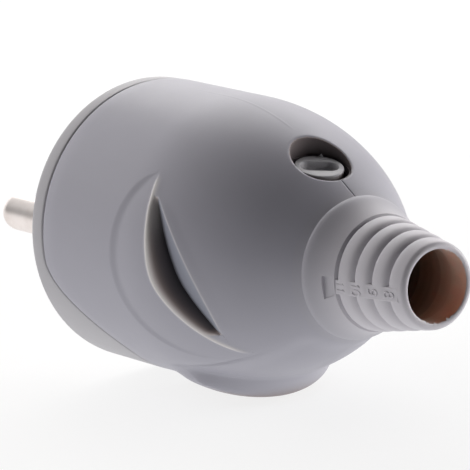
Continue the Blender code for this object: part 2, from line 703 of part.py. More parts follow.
def slotted_screw(name, head_at, direction, head_r, head_t, shank_r, length, material):
    """A cheese-head screw. head_at is the centre of its face, direction points outwards."""
    edge = 0.2
    outline = [(0.0, 0.0), (head_r - edge, 0.0), (head_r, -edge), (head_r, -head_t),
               (shank_r, -head_t), (shank_r, -length + 0.3), (shank_r - 0.3, -length),
               (0.0, -length)]
    screw = turned(name, outline, head_at, direction, material)
    slot = block("slot_tool", (-head_r - 1, -0.35, -0.55 * head_t), (head_r + 1, 0.35, 1),
                 matrix=frame_along(head_at, direction))
    cut(screw, slot)
    return screw


def make_pole(side, word):
    """A pin with its terminal block and terminal screw."""
    y = side * PIN_Y
    round_tip = [(PIN_R * math.sin(math.radians(a)),
                  PIN_LEN - PIN_R + PIN_R * math.cos(math.radians(a)))
                 for a in (0, 25, 50, 70, 90)]
    collar_front = -(PIN_SEAT + GAP)
    stud_end = -(TERM_X + 0.4 * TERM_LEN)
    outline = round_tip + [(PIN_R, collar_front), (COLLAR_PIN_R, collar_front),
                           (COLLAR_PIN_R, -PLATE_T), (STUD_R, -PLATE_T),
                           (STUD_R, stud_end), (0.0, stud_end)]
    turned(word + "_pin", outline, (0, y, 0), -AXIS, NICKEL)

    terminal = block(word + "_terminal", (TERM_X, y - TERM_HALF, -TERM_HALF),
                     (TERM_BACK, y + TERM_HALF, TERM_HALF), BRASS)
    cut(terminal,
        rod("stud_bore_tool", STUD_R + GAP, (TERM_X - 1, y, 0), (-stud_end + GAP, y, 0)),
        rod("wire_bore_tool", WIRE_R, (-stud_end + GAP + 0.4, y, 0), (TERM_BACK + 1, y, 0)),
        rod("screw_bore_tool", TERM_SCREW_R + GAP, (TERM_SCREW_X, y, 0),
            (TERM_SCREW_X, y, TERM_HALF + 1)))
    top = TERM_HALF + TERM_OPEN + TERM_HEAD_T
    slotted_screw(word + "_terminal_screw", (TERM_SCREW_X, y, top), UP, TERM_HEAD_R,
                  TERM_HEAD_T, TERM_SCREW_R, top - WIRE_R - 0.2, STEEL)

    carrier_screw_x = CARRIER_BACK + GAP + SMALL_HEAD_T
    slotted_screw("carrier_screw_" + word, (carrier_screw_x, side * CARRIER_SCREW_Y,
                                            CARRIER_SCREW_Z), AXIS,
                  SMALL_HEAD_R, SMALL_HEAD_T, SMALL_R, carrier_screw_x - SMALL_END, STEEL)


def make_earth():
    """Slit socket tube, its spring rings, the strap, the terminal and its screw."""
    seat_front = PIN_SEAT + GAP
    outline = [(TUBE_R, TUBE_END), (TUBE_R, PLATE_T), (SEAT_R, PLATE_T),
               (SEAT_R, seat_front), (EARTH_BORE_R, seat_front), (EARTH_BORE_R, TUBE_END)]
    tube = turned("earth_socket", outline, (0, 0, EARTH_Z), AXIS, BRASS, closed=True)
    for angle in (0, 90):
        slit = block("slit_tool", (CARRIER_X + 0.5, -TUBE_R - 1, -TUBE_SLIT / 2),
                     (RING_X[-1] + 2.0, TUBE_R + 1, TUBE_SLIT / 2),
                     matrix=Matrix.Translation((0, 0, EARTH_Z * MM))
                     @ Matrix.Rotation(math.radians(angle + 45), 4, "X"))
        cut(tube, slit)

    centre = TUBE_R + GAP + RING_WIRE
    circle = [(centre + RING_WIRE * math.cos(math.radians(a)),
               -RING_WIRE * math.sin(math.radians(a))) for a in range(0, 360, 45)]
    for word, x in zip(("front", "rear"), RING_X):
        ring = turned("earth_spring_" + word, circle, (x, 0, EARTH_Z), AXIS, STEEL, closed=True)
        cut(ring, block("ring_gap_tool", (x - 1, -0.5, EARTH_Z),
                        (x + 1, 0.5, EARTH_Z + centre + 1)))

    top, low = STRAP_TOP, STRAP_TOP - STRAP_DROP
    outline = [(STRAP_START, top), (STRAP_BEND + 0.4, top), (STRAP_BEND + 2.6, low),
               (EARTH_TERM_BACK, low), (EARTH_TERM_BACK, low - STRAP_T),
               (STRAP_BEND + 2.2, low - STRAP_T), (STRAP_BEND, top - STRAP_T),
               (STRAP_START, top - STRAP_T)]
    flat_outline("earth_strap", outline, -STRAP_HALF, STRAP_HALF,
                 Matrix.Rotation(math.pi / 2, 4, "X"), BRASS)

    terminal = block("earth_terminal", (EARTH_TERM_X, -TERM_HALF, EARTH_TERM_BASE),
                     (EARTH_TERM_BACK, TERM_HALF, EARTH_TERM_TOP), BRASS)
    wire_z = EARTH_TERM_BASE + 0.36 * EARTH_TERM_TALL
    cut(terminal,
        rod("wire_bore_tool", WIRE_R, (EARTH_TERM_X + 1, 0, wire_z),
            (EARTH_TERM_BACK + 1, 0, wire_z)),
        rod("screw_bore_tool", TERM_SCREW_R + GAP, (EARTH_SCREW_X, 0, wire_z),
            (EARTH_SCREW_X, 0, EARTH_TERM_TOP + 1)))
    top = EARTH_TERM_TOP + TERM_OPEN + TERM_HEAD_T
    slotted_screw("earth_terminal_screw", (EARTH_SCREW_X, 0, top), UP, TERM_HEAD_R,
                  TERM_HEAD_T, TERM_SCREW_R, top - wire_z - WIRE_R - 0.2, STEEL)


def stadium(length, width, steps=8):
    """A slot outline with round ends."""
    straight = (length - width) / 2
    points = []
    for centre, first in ((straight, -90), (-straight, 90)):
        for step in range(steps + 1):
            turn = math.radians(first + 180 * step / steps)
            points.append((centre + width / 2 * math.cos(turn), width / 2 * math.sin(turn)))
    return points


def make_lock():
    """Lock screw, its threaded bush, the saddle it moves and the clip that joins them."""
    edge = 0.3
    outline = [(0.0, 0.0), (HEAD_R - edge, 0.0), (HEAD_R, -edge), (HEAD_R, HEAD_BASE),
               (SHANK_R, HEAD_BASE), (SHANK_R, SADDLE_TOP), (NECK_R, SADDLE_TOP),
               (NECK_R, NECK_BASE), (SHANK_R, NECK_BASE), (SHANK_R, TIP_BASE),
               (0.0, TIP_BASE)]
    screw = turned("lock_screw", outline, HEAD_POINT, SCREW_OUT, GREY, sides=36)
    slot_frame = SCREW_FRAME @ Matrix.Rotation(math.radians(SLOT_ANGLE), 4, "Z")
    cut(screw, flat_outline("coin_slot_tool", stadium(SLOT_LEN, SLOT_WIDE), -SLOT_DEEP, 1,
                            slot_frame))

    bush_in = SHANK_R + GAP
    turned("lock_bush", [(bush_in + BUSH_WALL, LEDGE_TOP), (bush_in + BUSH_WALL, LEDGE_BASE),
                         (bush_in, LEDGE_BASE), (bush_in, LEDGE_TOP)],
           HEAD_POINT, SCREW_OUT, BRASS, closed=True)

    saddle = block("clamp_saddle", (-SADDLE_LEN / 2, -SADDLE_HALF, SADDLE_TOP - SADDLE_DEEP),
                   (SADDLE_LEN / 2, SADDLE_HALF, SADDLE_TOP), INNER_WHITE, matrix=SCREW_FRAME)
    arch_z = SADDLE_APEX - CORD_R
    cut(saddle,
        rod("arch_tool", CORD_R, (LOCK_X - 2 * SADDLE_LEN, 0, arch_z),
            (LOCK_X + 2 * SADDLE_LEN, 0, arch_z), sides=40),
        rod("clip_seat_tool", CLIP_R + GAP, (0, 0, NECK_BASE), (0, 0, SADDLE_TOP + 1),
            matrix=SCREW_FRAME),
        rod("tip_socket_tool", SHANK_R + GAP, (0, 0, SOCKET_BASE), (0, 0, NECK_BASE + 0.5),
            matrix=SCREW_FRAME))

    turned("saddle_clip", [(CLIP_R, CLIP_TOP), (CLIP_R, CLIP_BASE),
                           (NECK_R + GAP, CLIP_BASE), (NECK_R + GAP, CLIP_TOP)],
           HEAD_POINT, SCREW_OUT, STEEL, closed=True)


make_housing()
make_front_insert()
make_carrier()
make_pole(1, "line")
make_pole(-1, "neutral")
make_earth()
make_lock()
bpy.context.view_layer.update()
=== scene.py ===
# %% [markdown]
# # A rewirable mains plug
# A rewirable plug is a small machine: a soft casing with finger grips and a stepped cord
# sleeve, an insert with two nickel pins and an earth socket, and the screws and blocks
# that hold the wires. This file dresses the plug's plain solids: it makes finer shapes in
# their places, gives every surface a finish, and sets up a small studio.
# The solids come first, because everything else is fitted to them.

import math

import bmesh
import bpy
from mathutils import Matrix, Vector, noise


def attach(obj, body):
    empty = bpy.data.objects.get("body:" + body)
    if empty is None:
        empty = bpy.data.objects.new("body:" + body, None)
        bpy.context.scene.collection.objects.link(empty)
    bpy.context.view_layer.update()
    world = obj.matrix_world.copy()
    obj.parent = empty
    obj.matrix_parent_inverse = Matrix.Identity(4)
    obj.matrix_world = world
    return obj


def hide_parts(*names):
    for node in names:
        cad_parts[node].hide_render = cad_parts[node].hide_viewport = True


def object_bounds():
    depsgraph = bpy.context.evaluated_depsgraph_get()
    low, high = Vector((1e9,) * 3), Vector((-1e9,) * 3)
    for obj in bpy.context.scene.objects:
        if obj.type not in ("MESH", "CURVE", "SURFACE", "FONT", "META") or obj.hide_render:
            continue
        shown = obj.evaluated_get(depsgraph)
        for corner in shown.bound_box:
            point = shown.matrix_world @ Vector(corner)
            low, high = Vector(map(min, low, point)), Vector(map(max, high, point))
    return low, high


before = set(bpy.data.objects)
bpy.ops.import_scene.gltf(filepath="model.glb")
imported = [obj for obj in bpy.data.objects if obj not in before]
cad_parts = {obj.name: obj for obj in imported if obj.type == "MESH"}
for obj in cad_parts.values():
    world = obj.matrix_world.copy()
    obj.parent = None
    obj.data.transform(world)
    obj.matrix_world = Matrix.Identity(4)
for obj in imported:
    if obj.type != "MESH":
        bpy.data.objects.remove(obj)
cad_low, cad_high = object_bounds()
print("solids from", [round(v, 4) for v in cad_low], "to", [round(v, 4) for v in cad_high])

# %% [markdown]
# ## Writing finishes as formulas
# A finish is a graph of nodes. It could be wired by hand, one link at a time, but then a
# formula such as 1 - dirt * 0.3 takes four lines. A small class that stands for a node's
# output can overload the arithmetic signs, so that the formula itself adds its nodes.

# %% Sockets that do sums
class Socket:
    """An output of a node. Arithmetic with it adds Math nodes."""

    def __init__(self, graph, output):
        self.graph, self.output = graph, output

    def sum(self, operation, *values):
        return self.graph.node("ShaderNodeMath", {"operation": operation}, values)

    def __add__(self, other):
        return self.sum("ADD", self, other)

    def __sub__(self, other):
        return self.sum("SUBTRACT", self, other)

    def __rsub__(self, other):
        return self.sum("SUBTRACT", other, self)

    def __mul__(self, other):
        return self.sum("MULTIPLY", self, other)

    __radd__ = __add__
    __rmul__ = __mul__

    def between(self, low, high):
        """Zero below low, one above high, and a soft step from one to the other."""
        return self.graph.node("ShaderNodeMapRange", {"interpolation_type": "SMOOTHSTEP"},
                               {"Value": self, "From Min": low, "From Max": high})


print("signs that add nodes: + - *")

# %% [markdown]
# ## One method for every node
# A material is a graph of nodes, and so is the world. Blender's own calls make a node,
# set it and link it in separate lines. One method that takes the node's type, its
# settings and its values does all three, and a formula can then be read from left to right.

# %% A graph of nodes
class Graph:
    """The nodes of a material or of the world."""

    def __init__(self, tree):
        self.tree = tree

    def node(self, kind, settings=(), values=(), out=0):
        """Adds a node: its settings first, then a value or a link for each socket."""
        made = self.tree.nodes.new(kind)
        for name, value in dict(settings).items():
            if name == "stops":
                ramp = made.color_ramp.elements
                while len(ramp) < len(value):
                    ramp.new(0.5)
                for stop, (position, colour) in zip(ramp, value):
                    stop.position, stop.color = position, (*colour, 1.0)
            else:
                setattr(made, name, value)
        pairs = values.items() if isinstance(values, dict) else enumerate(values)
        for key, value in pairs:
            if isinstance(value, Socket):
                self.tree.links.new(value.output, made.inputs[key])
            else:
                made.inputs[key].default_value = value
        return Socket(self, made.outputs[out])

    def outputs(self, kind, settings=(), values=()):
        """Adds a node and gives all its outputs, by their names."""
        made = self.node(kind, settings, values).output.node
        return {output.name: Socket(self, output) for output in made.outputs}

    def ends_in(self, surface):
        """Links a shader to the graph's own output node."""
        last = next(node for node in self.tree.nodes if node.name.endswith("Output"))
        self.tree.links.new(surface.output, last.inputs["Surface"])


print("a node takes its type, its settings and its values")

# %% [markdown]
# ## One class for every finish
# Each finish needs a place on the object to hang its pattern on, some noise, a colour
# that varies a little, and fine bumps. Object coordinates are the best place: they stay
# with the piece when it moves, and they are real metres, so a pattern's scale can be
# thought of as so many grains to the metre.

# %% A finish
class Finish(Graph):
    """A material with one Principled shader, whose constants are set on the shader itself."""

    def __init__(self, name, roughness=0.5, metallic=0.0, **constants):
        self.material = bpy.data.materials.new(name)
        self.material.use_nodes = True
        super().__init__(self.material.node_tree)
        self.shader = self.tree.nodes["Principled BSDF"]
        self.constant("Roughness", roughness)
        self.constant("Metallic", metallic)
        for socket, value in constants.items():
            self.constant(socket.replace("_", " "), value)
        self.place = self.node("ShaderNodeTexCoord", out="Object")

    def constant(self, socket, value):
        self.shader.inputs[socket].default_value = value

    def feed(self, socket, value):
        self.tree.links.new(value.output, self.shader.inputs[socket])

    def grain(self, scale, detail=2.0, rough=0.5, stretch=None):
        """Noise with so many grains to the metre, if wanted stretched along an axis."""
        place = self.place
        if stretch is not None:
            place = self.node("ShaderNodeMapping", {}, {"Vector": place, "Scale": stretch})
        return self.node("ShaderNodeTexNoise", {}, {"Vector": place, "Scale": scale,
                                                    "Detail": detail, "Roughness": rough})

    def mix(self, share, first, second):
        """From the first colour to the second."""
        return self.node("ShaderNodeMix", {"data_type": "RGBA"},
                         {0: share, 6: tint(first), 7: tint(second)}, out=2)

    def bumps(self, height, depth):
        """Lets the light see a height between 0 and 1 as that many metres."""
        self.feed("Normal", self.node("ShaderNodeBump", {}, {"Strength": 1.0, "Distance": depth,
                                                             "Height": height}))

    def axes(self):
        """The three object coordinates, one by one."""
        split = self.outputs("ShaderNodeSeparateXYZ", {}, {"Vector": self.place})
        return [split[axis] for axis in "XYZ"]


def tint(colour):
    """A colour for a node's socket, if it isn't a link already."""
    return colour if isinstance(colour, Socket) else (*colour, 1.0)


print("a finish hangs its pattern on object coordinates, in metres")

# %% [markdown]
# ## Grey casing plastic
# The casing is moulded in a tough, slightly soft plastic. Such a surface isn't one grey:
# it carries a fine sand-like texture from the mould, faint flow marks from the melt, and
# smoother places where fingers have polished it. In deep hollows, where light has passed
# from wall to wall, a darker, browner tint is painted into the colour as shade. It follows
# the closeness of other surfaces. The grips get painted light too: a painted highlight
# along the lip and the slot's rear edge, painted shade in the slot that goes through brown
# to nearly black, and painted shade on the ramp behind it. These are painted on the casing's
# points later, as a colour layer: red for the highlight, green for the slot, blue for the ramp.

# %% Grey plastics
# Painted shade in the slot from the lip down to the crevice, painted shade on the ramp, and the
# painted highlight on the edges.
SLOT_SHADE_PAINT = [(0.0, (0.48, 0.45, 0.46)), (0.25, (0.42, 0.365, 0.365)),
              (0.55, (0.215, 0.176, 0.173)), (1.0, (0.070, 0.066, 0.078))]
RAMP_SHADE_PAINT, RAMP_SHADE, EDGE_HIGHLIGHT_PAINT = (0.245, 0.255, 0.305), (0.05, 0.05, 0.06), (0.66, 0.63, 0.62)
HOLLOW_REACH = 0.0045
# Along the plug, where the painted light on the sleeve's outside begins and where it is full.
MOUTH_LIGHT_FROM, MOUTH_LIGHT_TO = 0.0440, 0.0530


def grey_plastic(name, colour, roughness, tooth, hollow_shade=0.0, marks="", mouth_light_paint=None):
    """Satin plastic: flow marks, a sandy mould texture, painted shade in its hollows, and
    painted light.
    """
    finish = Finish(name, roughness, Specular_IOR_Level=0.45)
    flow = finish.grain(90.0, 3.0, 0.55, (0.6, 1.0, 1.0))
    speckle = finish.grain(4200.0, 2.0)
    pale = [min(channel * 1.07, 1.0) for channel in colour]
    deep = [channel * 0.93 for channel in colour]
    surface = finish.mix(flow * 0.8 + speckle * 0.25, deep, pale)
    # Painted shade: hollows get a darker, browner tint in the base colour, by how close other
    # surfaces are.
    if hollow_shade:
        nearness = 1 - finish.node("ShaderNodeAmbientOcclusion", {"samples": 8},
                                   {"Distance": HOLLOW_REACH}, out="AO")
        brown = (colour[0] * 0.50, colour[1] * 0.36, colour[2] * 0.28)
        surface = finish.mix(nearness.between(0.45, 0.95) * hollow_shade, surface, brown)
    # Painted light from the colour layer: a pale painted highlight on the lip and the slot's
    # rear edge, painted shade in the slot and on the ramp.
    if marks:
        painted = finish.node("ShaderNodeVertexColor", {"layer_name": marks})
        split = finish.outputs("ShaderNodeSeparateColor", {}, (painted,))
        edge, shade, ramp = [split[name] for name in ("Red", "Green", "Blue")]
        slot = finish.node("ShaderNodeValToRGB", {"stops": SLOT_SHADE_PAINT}, (shade,))
        surface = finish.mix(shade.between(0.0, 0.12), surface, slot)
        surface = finish.mix(ramp, surface, finish.mix(shade, RAMP_SHADE_PAINT, RAMP_SHADE))
        surface = finish.mix(edge, surface, EDGE_HIGHLIGHT_PAINT)
    # Painted light: the sleeve's outside is painted paler towards its mouth.
    if mouth_light_paint:
        surface = finish.mix(finish.axes()[0].between(MOUTH_LIGHT_FROM, MOUTH_LIGHT_TO), surface, mouth_light_paint)
    finish.feed("Base Color", surface)
    wear = finish.grain(420.0, 4.0, 0.6)
    finish.feed("Roughness", wear * 0.12 + speckle * 0.05 + (roughness - 0.085))
    finish.bumps(finish.grain(5200.0, 3.0, 0.6) * 0.7 + wear * 0.3, tooth)
    return finish.material


# The casing gets painted shade in its hollows and the grips' painted highlight and shade; the
# lock screw gets painted shade in its hollows.
CASING_GREY = grey_plastic("casing_plastic", (0.362, 0.355, 0.407), 0.46, 0.000010, 0.8,
                           "grip_marks")
INSERT_GREY = grey_plastic("insert_plastic", (0.420, 0.410, 0.435), 0.48, 0.000009)
SCREW_GREY = grey_plastic("lock_screw_plastic", (0.415, 0.412, 0.435), 0.44, 0.000008, 0.8)
print("grey plastics:", CASING_GREY.name, INSERT_GREY.name, SCREW_GREY.name)

# %% [markdown]
# ## The bore's painted brown shade
# Inside the sleeve the same plastic looks brown, because what light gets there has come
# through the thin wall. That shade is painted: the inside gets a dark brown base colour,
# painted paler near the mouth, on a finish that also lets light through, with faint rings,
# as a core pin leaves them. The sleeve's outside is painted paler towards its thin mouth.

# %% Sleeve and bore plastic
def bore_shade_painted_plastic():
    finish = Finish("bore_shade_painted_plastic", 0.5, Specular_IOR_Level=0.35, Subsurface_Weight=0.7,
                    Subsurface_Radius=(1.0, 0.76, 0.62), Subsurface_Scale=0.0015)
    steps = finish.node("ShaderNodeTexWave", {"wave_type": "BANDS", "bands_direction": "X"},
                        {"Vector": finish.place, "Scale": 185.0, "Distortion": 0.4})
    flow = finish.grain(160.0, 3.0)
    near_mouth = finish.axes()[0].between(0.0515, 0.0605)
    # Painted shade: a dark brown base colour in the bore, painted paler near the mouth, where
    # more light gets in.
    deep = finish.mix(steps * 0.5 + flow * 0.5, (0.30, 0.20, 0.15), (0.38, 0.26, 0.20))
    finish.feed("Base Color", finish.mix(near_mouth, deep, (0.66, 0.52, 0.44)))
    finish.feed("Roughness", flow * 0.12 + 0.46)
    finish.bumps(finish.grain(5200.0, 3.0, 0.6), 0.000009)
    return finish.material


# The sleeve's outside is painted paler towards the mouth, as painted light.
SLEEVE_GREY = grey_plastic("sleeve_plastic", (0.364, 0.356, 0.402), 0.46, 0.000009,
                           mouth_light_paint=(0.572, 0.55, 0.592))
BORE_SHADE_PAINTED = bore_shade_painted_plastic()
print("sleeve finishes:", SLEEVE_GREY.name, BORE_SHADE_PAINTED.name)

# %% [markdown]
# ## Metals
# The pins are brass under bright nickel. Plated metal is never a perfect mirror: polishing
# leaves fine lines round it, and handling leaves duller patches. The terminal blocks are
# bare brass, a little tarnished, and the screws are steel with a thin zinc coat that shows
# yellow and blue in places. All of them come from one recipe with other numbers.

# %% Nickel, brass and zinc
def plain_metal(name, bright, dull, roughness, lines, depth):
    """Metal with dull patches and fine tool lines across the given axis scale."""
    finish = Finish(name, roughness, 1.0)
    patches = finish.grain(350.0, 4.0, 0.6)
    tool_lines = finish.grain(900.0, 2.0, 0.5, lines)
    finish.feed("Base Color", finish.mix(patches.between(0.35, 0.75), bright, dull))
    finish.feed("Roughness", patches * 0.16 + tool_lines * 0.10 + (roughness - 0.13))
    finish.bumps(tool_lines, depth)
    return finish.material


NICKEL = plain_metal("pin_nickel_plate", (0.92, 0.85, 0.82), (0.82, 0.745, 0.71),
                     0.38, (9.0, 0.7, 0.7), 0.000004)
BRASS = plain_metal("terminal_brass_bare", (0.80, 0.60, 0.30), (0.58, 0.40, 0.19),
                    0.34, (6.0, 1.0, 1.0), 0.000005)
ZINC = plain_metal("screw_zinc_coat", (0.66, 0.66, 0.64), (0.60, 0.57, 0.45),
                   0.34, (1.0, 1.0, 7.0), 0.000004)
print("metals:", NICKEL.name, BRASS.name, ZINC.name)

# %% [markdown]
# ## The white inner moulding
# The carrier and the saddle are glass-filled nylon, an off-white plastic with pale fibres
# under a slightly cloudy skin. Two noises do for that: a wide one for the cloudiness and
# a stretched one for the fibres.

# %% Off-white nylon
def nylon():
    finish = Finish("carrier_nylon", 0.5, Specular_IOR_Level=0.5)
    cloud = finish.grain(120.0, 3.0)
    fibres = finish.grain(1500.0, 3.0, 0.6, (0.25, 1.0, 1.0))
    finish.feed("Base Color", finish.mix(cloud * 0.7 + fibres * 0.4, (0.60, 0.58, 0.52),
                                         (0.74, 0.72, 0.66)))
    finish.feed("Roughness", fibres * 0.2 + 0.38)
    finish.bumps(fibres, 0.000008)
    return finish.material


NYLON = nylon()
print("nylon:", NYLON.name)

# %% [markdown]
# ## The mesh maker
# Nearly every piece of a plug is a skin over rings of points: a turned pin, a threaded
# screw, and even the casing with its grips. One function that skins rings makes them all.
# The screw modifier could turn simple profiles, but a thread or a finger grip needs its
# own radius at each point, and that is easiest when the points are set one by one.

# %% Skins over rings
MM = 0.001


def dressed(mesh, name, body, material, slot, *nodes, crease=35.0):
    """Puts a finished mesh in the scene: its finish, the body it rides on, what it replaces."""
    mesh.shade_smooth()
    mesh.set_sharp_from_angle(angle=math.radians(crease))
    mesh.materials.clear()
    mesh.materials.append(material)
    piece = bpy.data.objects.new(name, mesh)
    bpy.context.scene.collection.objects.link(piece)
    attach(piece, body)
    if nodes:
        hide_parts(*nodes)
    print(f"{name}: {len(mesh.vertices)} points, {len(mesh.polygons)} faces")
    return piece


def skin(name, rings, tube=False):
    """A mesh over rings of points in millimetres. A ring of one point closes an end."""
    bm = bmesh.new()
    made = [[bm.verts.new(Vector(point) * MM) for point in ring] for ring in rings]
    pairs = list(zip(made, made[1:]))
    if tube:
        pairs.append((made[-1], made[0]))
    for ring, following in pairs:
        count = max(len(ring), len(following))
        for index in range(count):
            after = (index + 1) % count
            if len(ring) == 1:
                corners = (ring[0], following[after], following[index])
            elif len(following) == 1:
                corners = (ring[index], ring[after], following[0])
            else:
                corners = (ring[index], ring[after], following[after], following[index])
            bm.faces.new(corners)
    return closed_mesh(bm, name)


def closed_mesh(bm, name):
    bmesh.ops.recalc_face_normals(bm, faces=bm.faces)
    mesh = bpy.data.meshes.new(name)
    bm.to_mesh(mesh)
    bm.free()
    return mesh


print("lengths are written in millimetres and stored in metres, times", MM)

# %% [markdown]
# ## Cutting and joining
# Holes, slots and posts are added to a skin with Booleans. Each one could stay on the
# piece as a modifier, but here they are applied at once, so that the finished mesh holds
# them. The manifold solver suits this: every solid here is closed.

# %% Booleans, applied at once
def combine(mesh, operation, tools):
    """Cuts tools out of a mesh, or joins them to it, and gives back the new mesh."""
    piece = bpy.data.objects.new("work", mesh)
    bpy.context.scene.collection.objects.link(piece)
    helpers = []
    for tool in tools:
        helper = bpy.data.objects.new("tool", tool)
        bpy.context.scene.collection.objects.link(helper)
        helpers.append(helper)
        step = piece.modifiers.new("step", "BOOLEAN")
        step.operation, step.object, step.solver = operation, helper, "MANIFOLD"
    bpy.context.view_layer.update()
    evaluated = piece.evaluated_get(bpy.context.evaluated_depsgraph_get())
    result = bpy.data.meshes.new_from_object(evaluated)
    for used in [piece, *helpers]:
        bpy.data.objects.remove(used)
    return result


def cut(mesh, *tools):
    return combine(mesh, "DIFFERENCE", tools)


def join(mesh, *tools):
    return combine(mesh, "UNION", tools)


print("Booleans are applied by the manifold solver")

# %% [markdown]
# ## Turned pieces
# Pins, sockets and screws are turned on a lathe, and a turning tool never leaves a razor
# edge. So a profile is written as plain corners, and each corner is then rounded a little.
# The same function takes an optional thread: a groove that climbs as it goes round.

# %% A lathe
def rounded(outline, radius, steps=3):
    """The outline with each inner corner replaced by a small arc."""
    result = [Vector(outline[0])]
    for before, corner, after in zip(outline, outline[1:], outline[2:]):
        before, corner, after = Vector(before), Vector(corner), Vector(after)
        back, on = before - corner, after - corner
        reach = min(radius, 0.45 * back.length, 0.45 * on.length)
        start, end = corner + back.normalized() * reach, corner + on.normalized() * reach
        for step in range(steps + 1):
            share = step / steps
            result.append(start.lerp(corner, share).lerp(corner.lerp(end, share), share))
    result.append(Vector(outline[-1]))
    return result


def place_along(start, direction):
    """Takes the local Z axis to a direction and the local origin to a point, in millimetres."""
    turn = Vector((0, 0, 1)).rotation_difference(Vector(direction)).to_matrix().to_4x4()
    return Matrix.Translation(Vector(start)) @ turn


def turned(name, outline, place, radius=0.1, sides=64, tube=False, thread=None):
    """A lathe piece from (radius, height) corners. A thread is (from, to, pitch, depth)."""
    if tube:
        middle = (Vector(outline[0]) + Vector(outline[-1])) / 2
        path = rounded([middle, *outline, middle], radius)[:-1]
    else:
        path = rounded(outline, radius)
    if thread is not None:
        path = with_rows(path, thread)
    rings = []
    for reach, height in path:
        if reach < 1e-6:
            rings.append([place @ Vector((0, 0, height))])
            continue
        ring = []
        for side in range(sides):
            turn = 2 * math.pi * side / sides
            at = reach - (groove(height, turn, thread) if thread else 0.0)
            ring.append(place @ Vector((at * math.cos(turn), at * math.sin(turn), height)))
        rings.append(ring)
    return skin(name, rings, tube)


print("a square corner becomes", len(rounded([(0, 0), (1, 0), (1, 1)], 0.1)) - 2, "points")

# %% [markdown]
# ## Threads
# A thread is a helix, and where its crest stands at a given height depends on the angle.
# So the radius takes off a triangular groove whose phase is the height, less the share
# of a turn. It fades out over one pitch at both ends, as a rolled thread does.

# %% A thread's groove
def groove(height, turn, thread):
    low, high, pitch, depth = thread
    fade = min(height - low, high - height) / pitch
    if fade <= 0:
        return 0.0
    phase = (height / pitch - turn / (2 * math.pi)) % 1.0
    return depth * min(fade, 1.0) * abs(2 * phase - 1)


def with_rows(path, thread):
    """More points on the threaded length, eight to a pitch."""
    low, high, pitch, _ = thread
    result = [path[0]]
    for first, second in zip(path, path[1:]):
        if abs(first.x - second.x) < 0.01 and min(first.y, second.y) < high \
                and max(first.y, second.y) > low:
            count = max(int(abs(second.y - first.y) / pitch * 8), 1)
            result += [first.lerp(second, step / count) for step in range(1, count)]
        result.append(second)
    return result


def plain_rod(radius, start, end, place=Matrix(), sides=64):
    """A straight cutter between two points, in millimetres."""
    start, end = Vector(start), Vector(end)
    along = place @ place_along(start, end - start)
    length = (end - start).length
    rings = [[along @ Vector((0, 0, 0))]]
    for height in (0.0, length):
        rings.append([along @ Vector((radius * math.cos(2 * math.pi * side / sides),
                                      radius * math.sin(2 * math.pi * side / sides), height))
                      for side in range(sides)])
    rings.append([along @ Vector((0, 0, length))])
    return skin("rod", rings)


half_turn_on = groove(5.0, math.pi, (0.0, 10.0, 1.0, 0.2))
print("half a turn on, a groove of 0.2 mm is", round(half_turn_on, 3), "mm deep")

# %% [markdown]
# ## Moulded and sawn blocks
# A box with softened edges stands for a sawn brass block or a moulded wall. A cube with
# a Bevel modifier would do, and so does the bevel operation inside the mesh code, which
# keeps the piece free of modifiers.

# %% A softened block
def softened(low, high, edge, place=Matrix()):
    """A box between two corners in millimetres, with rounded edges."""
    low, high = Vector(low), Vector(high)
    bm = bmesh.new()
    bmesh.ops.create_cube(bm, size=1.0)
    bmesh.ops.transform(bm, matrix=Matrix.Diagonal((*(high - low), 1.0)), verts=bm.verts)
    bmesh.ops.translate(bm, vec=(low + high) / 2, verts=bm.verts)
    if edge:
        bmesh.ops.bevel(bm, geom=bm.edges[:], offset=edge, segments=2, profile=0.5,
                        affect="EDGES")
    bmesh.ops.transform(bm, matrix=Matrix.Scale(MM, 4) @ place, verts=bm.verts)
    return closed_mesh(bm, "block")


print("blocks are bevelled inside the mesh code, with two segments to an edge")

# %% [markdown]
# ## The casing's plain form
# The casing is a drafted cylinder that bends over into a dome and ends in a cone. It is
# the form that a mould maker would turn first, before carving the grips. All further
# shapes are written as a height above or below it, at a place along the plug and an
# angle round it. The angle runs from the lock screw's side, over the near side, and
# round to the far one, and both sides are alike.

# %% Cylinder, dome and cone
BODY_R = 18.7
BODY_DRAFT = 0.2
BODY_LEN = 45.5
DOME_START = 19.5
DOME_ARC_R = 38.0
DOME_SLOPE = 33.0


def body_radius(x):
    if x <= DOME_START:
        return BODY_R - BODY_DRAFT * max(x, 0.0) / DOME_START
    arc_end = DOME_START + DOME_ARC_R * math.sin(math.radians(DOME_SLOPE))
    reach = min(x, arc_end) - DOME_START
    radius = BODY_R - BODY_DRAFT - DOME_ARC_R + math.sqrt(DOME_ARC_R ** 2 - reach ** 2)
    return radius - max(x - arc_end, 0.0) * math.tan(math.radians(DOME_SLOPE))


def smooth_step(value):
    value = min(max(value, 0.0), 1.0)
    return value * value * (3.0 - 2.0 * value)


def arch(offset, half):
    return math.sqrt(max(1.0 - (offset / half) ** 2, 0.0))


def blend(low, high, share):
    return low + (high - low) * share


def on_section(x, radius, angle):
    """A point of the casing, in millimetres."""
    turn = math.radians(angle)
    return Vector((x, -radius * math.sin(turn), radius * math.cos(turn)))


print("radius at the dome's end:", round(body_radius(BODY_LEN), 2), "mm")

# %% [markdown]
# ## The finger grips
# On each side a shallow facet ends in a sharp lip, and behind the lip a slot drops away,
# so that a finger can pull the plug out. Five lines run round the casing: the facet's
# front edge, the lip, the crevice at the slot's bottom, the foot of the ramp behind it,
# and the slot's rear edge. The mesh follows those lines, because a sharp lip drawn
# across a regular grid would come out as a saw.

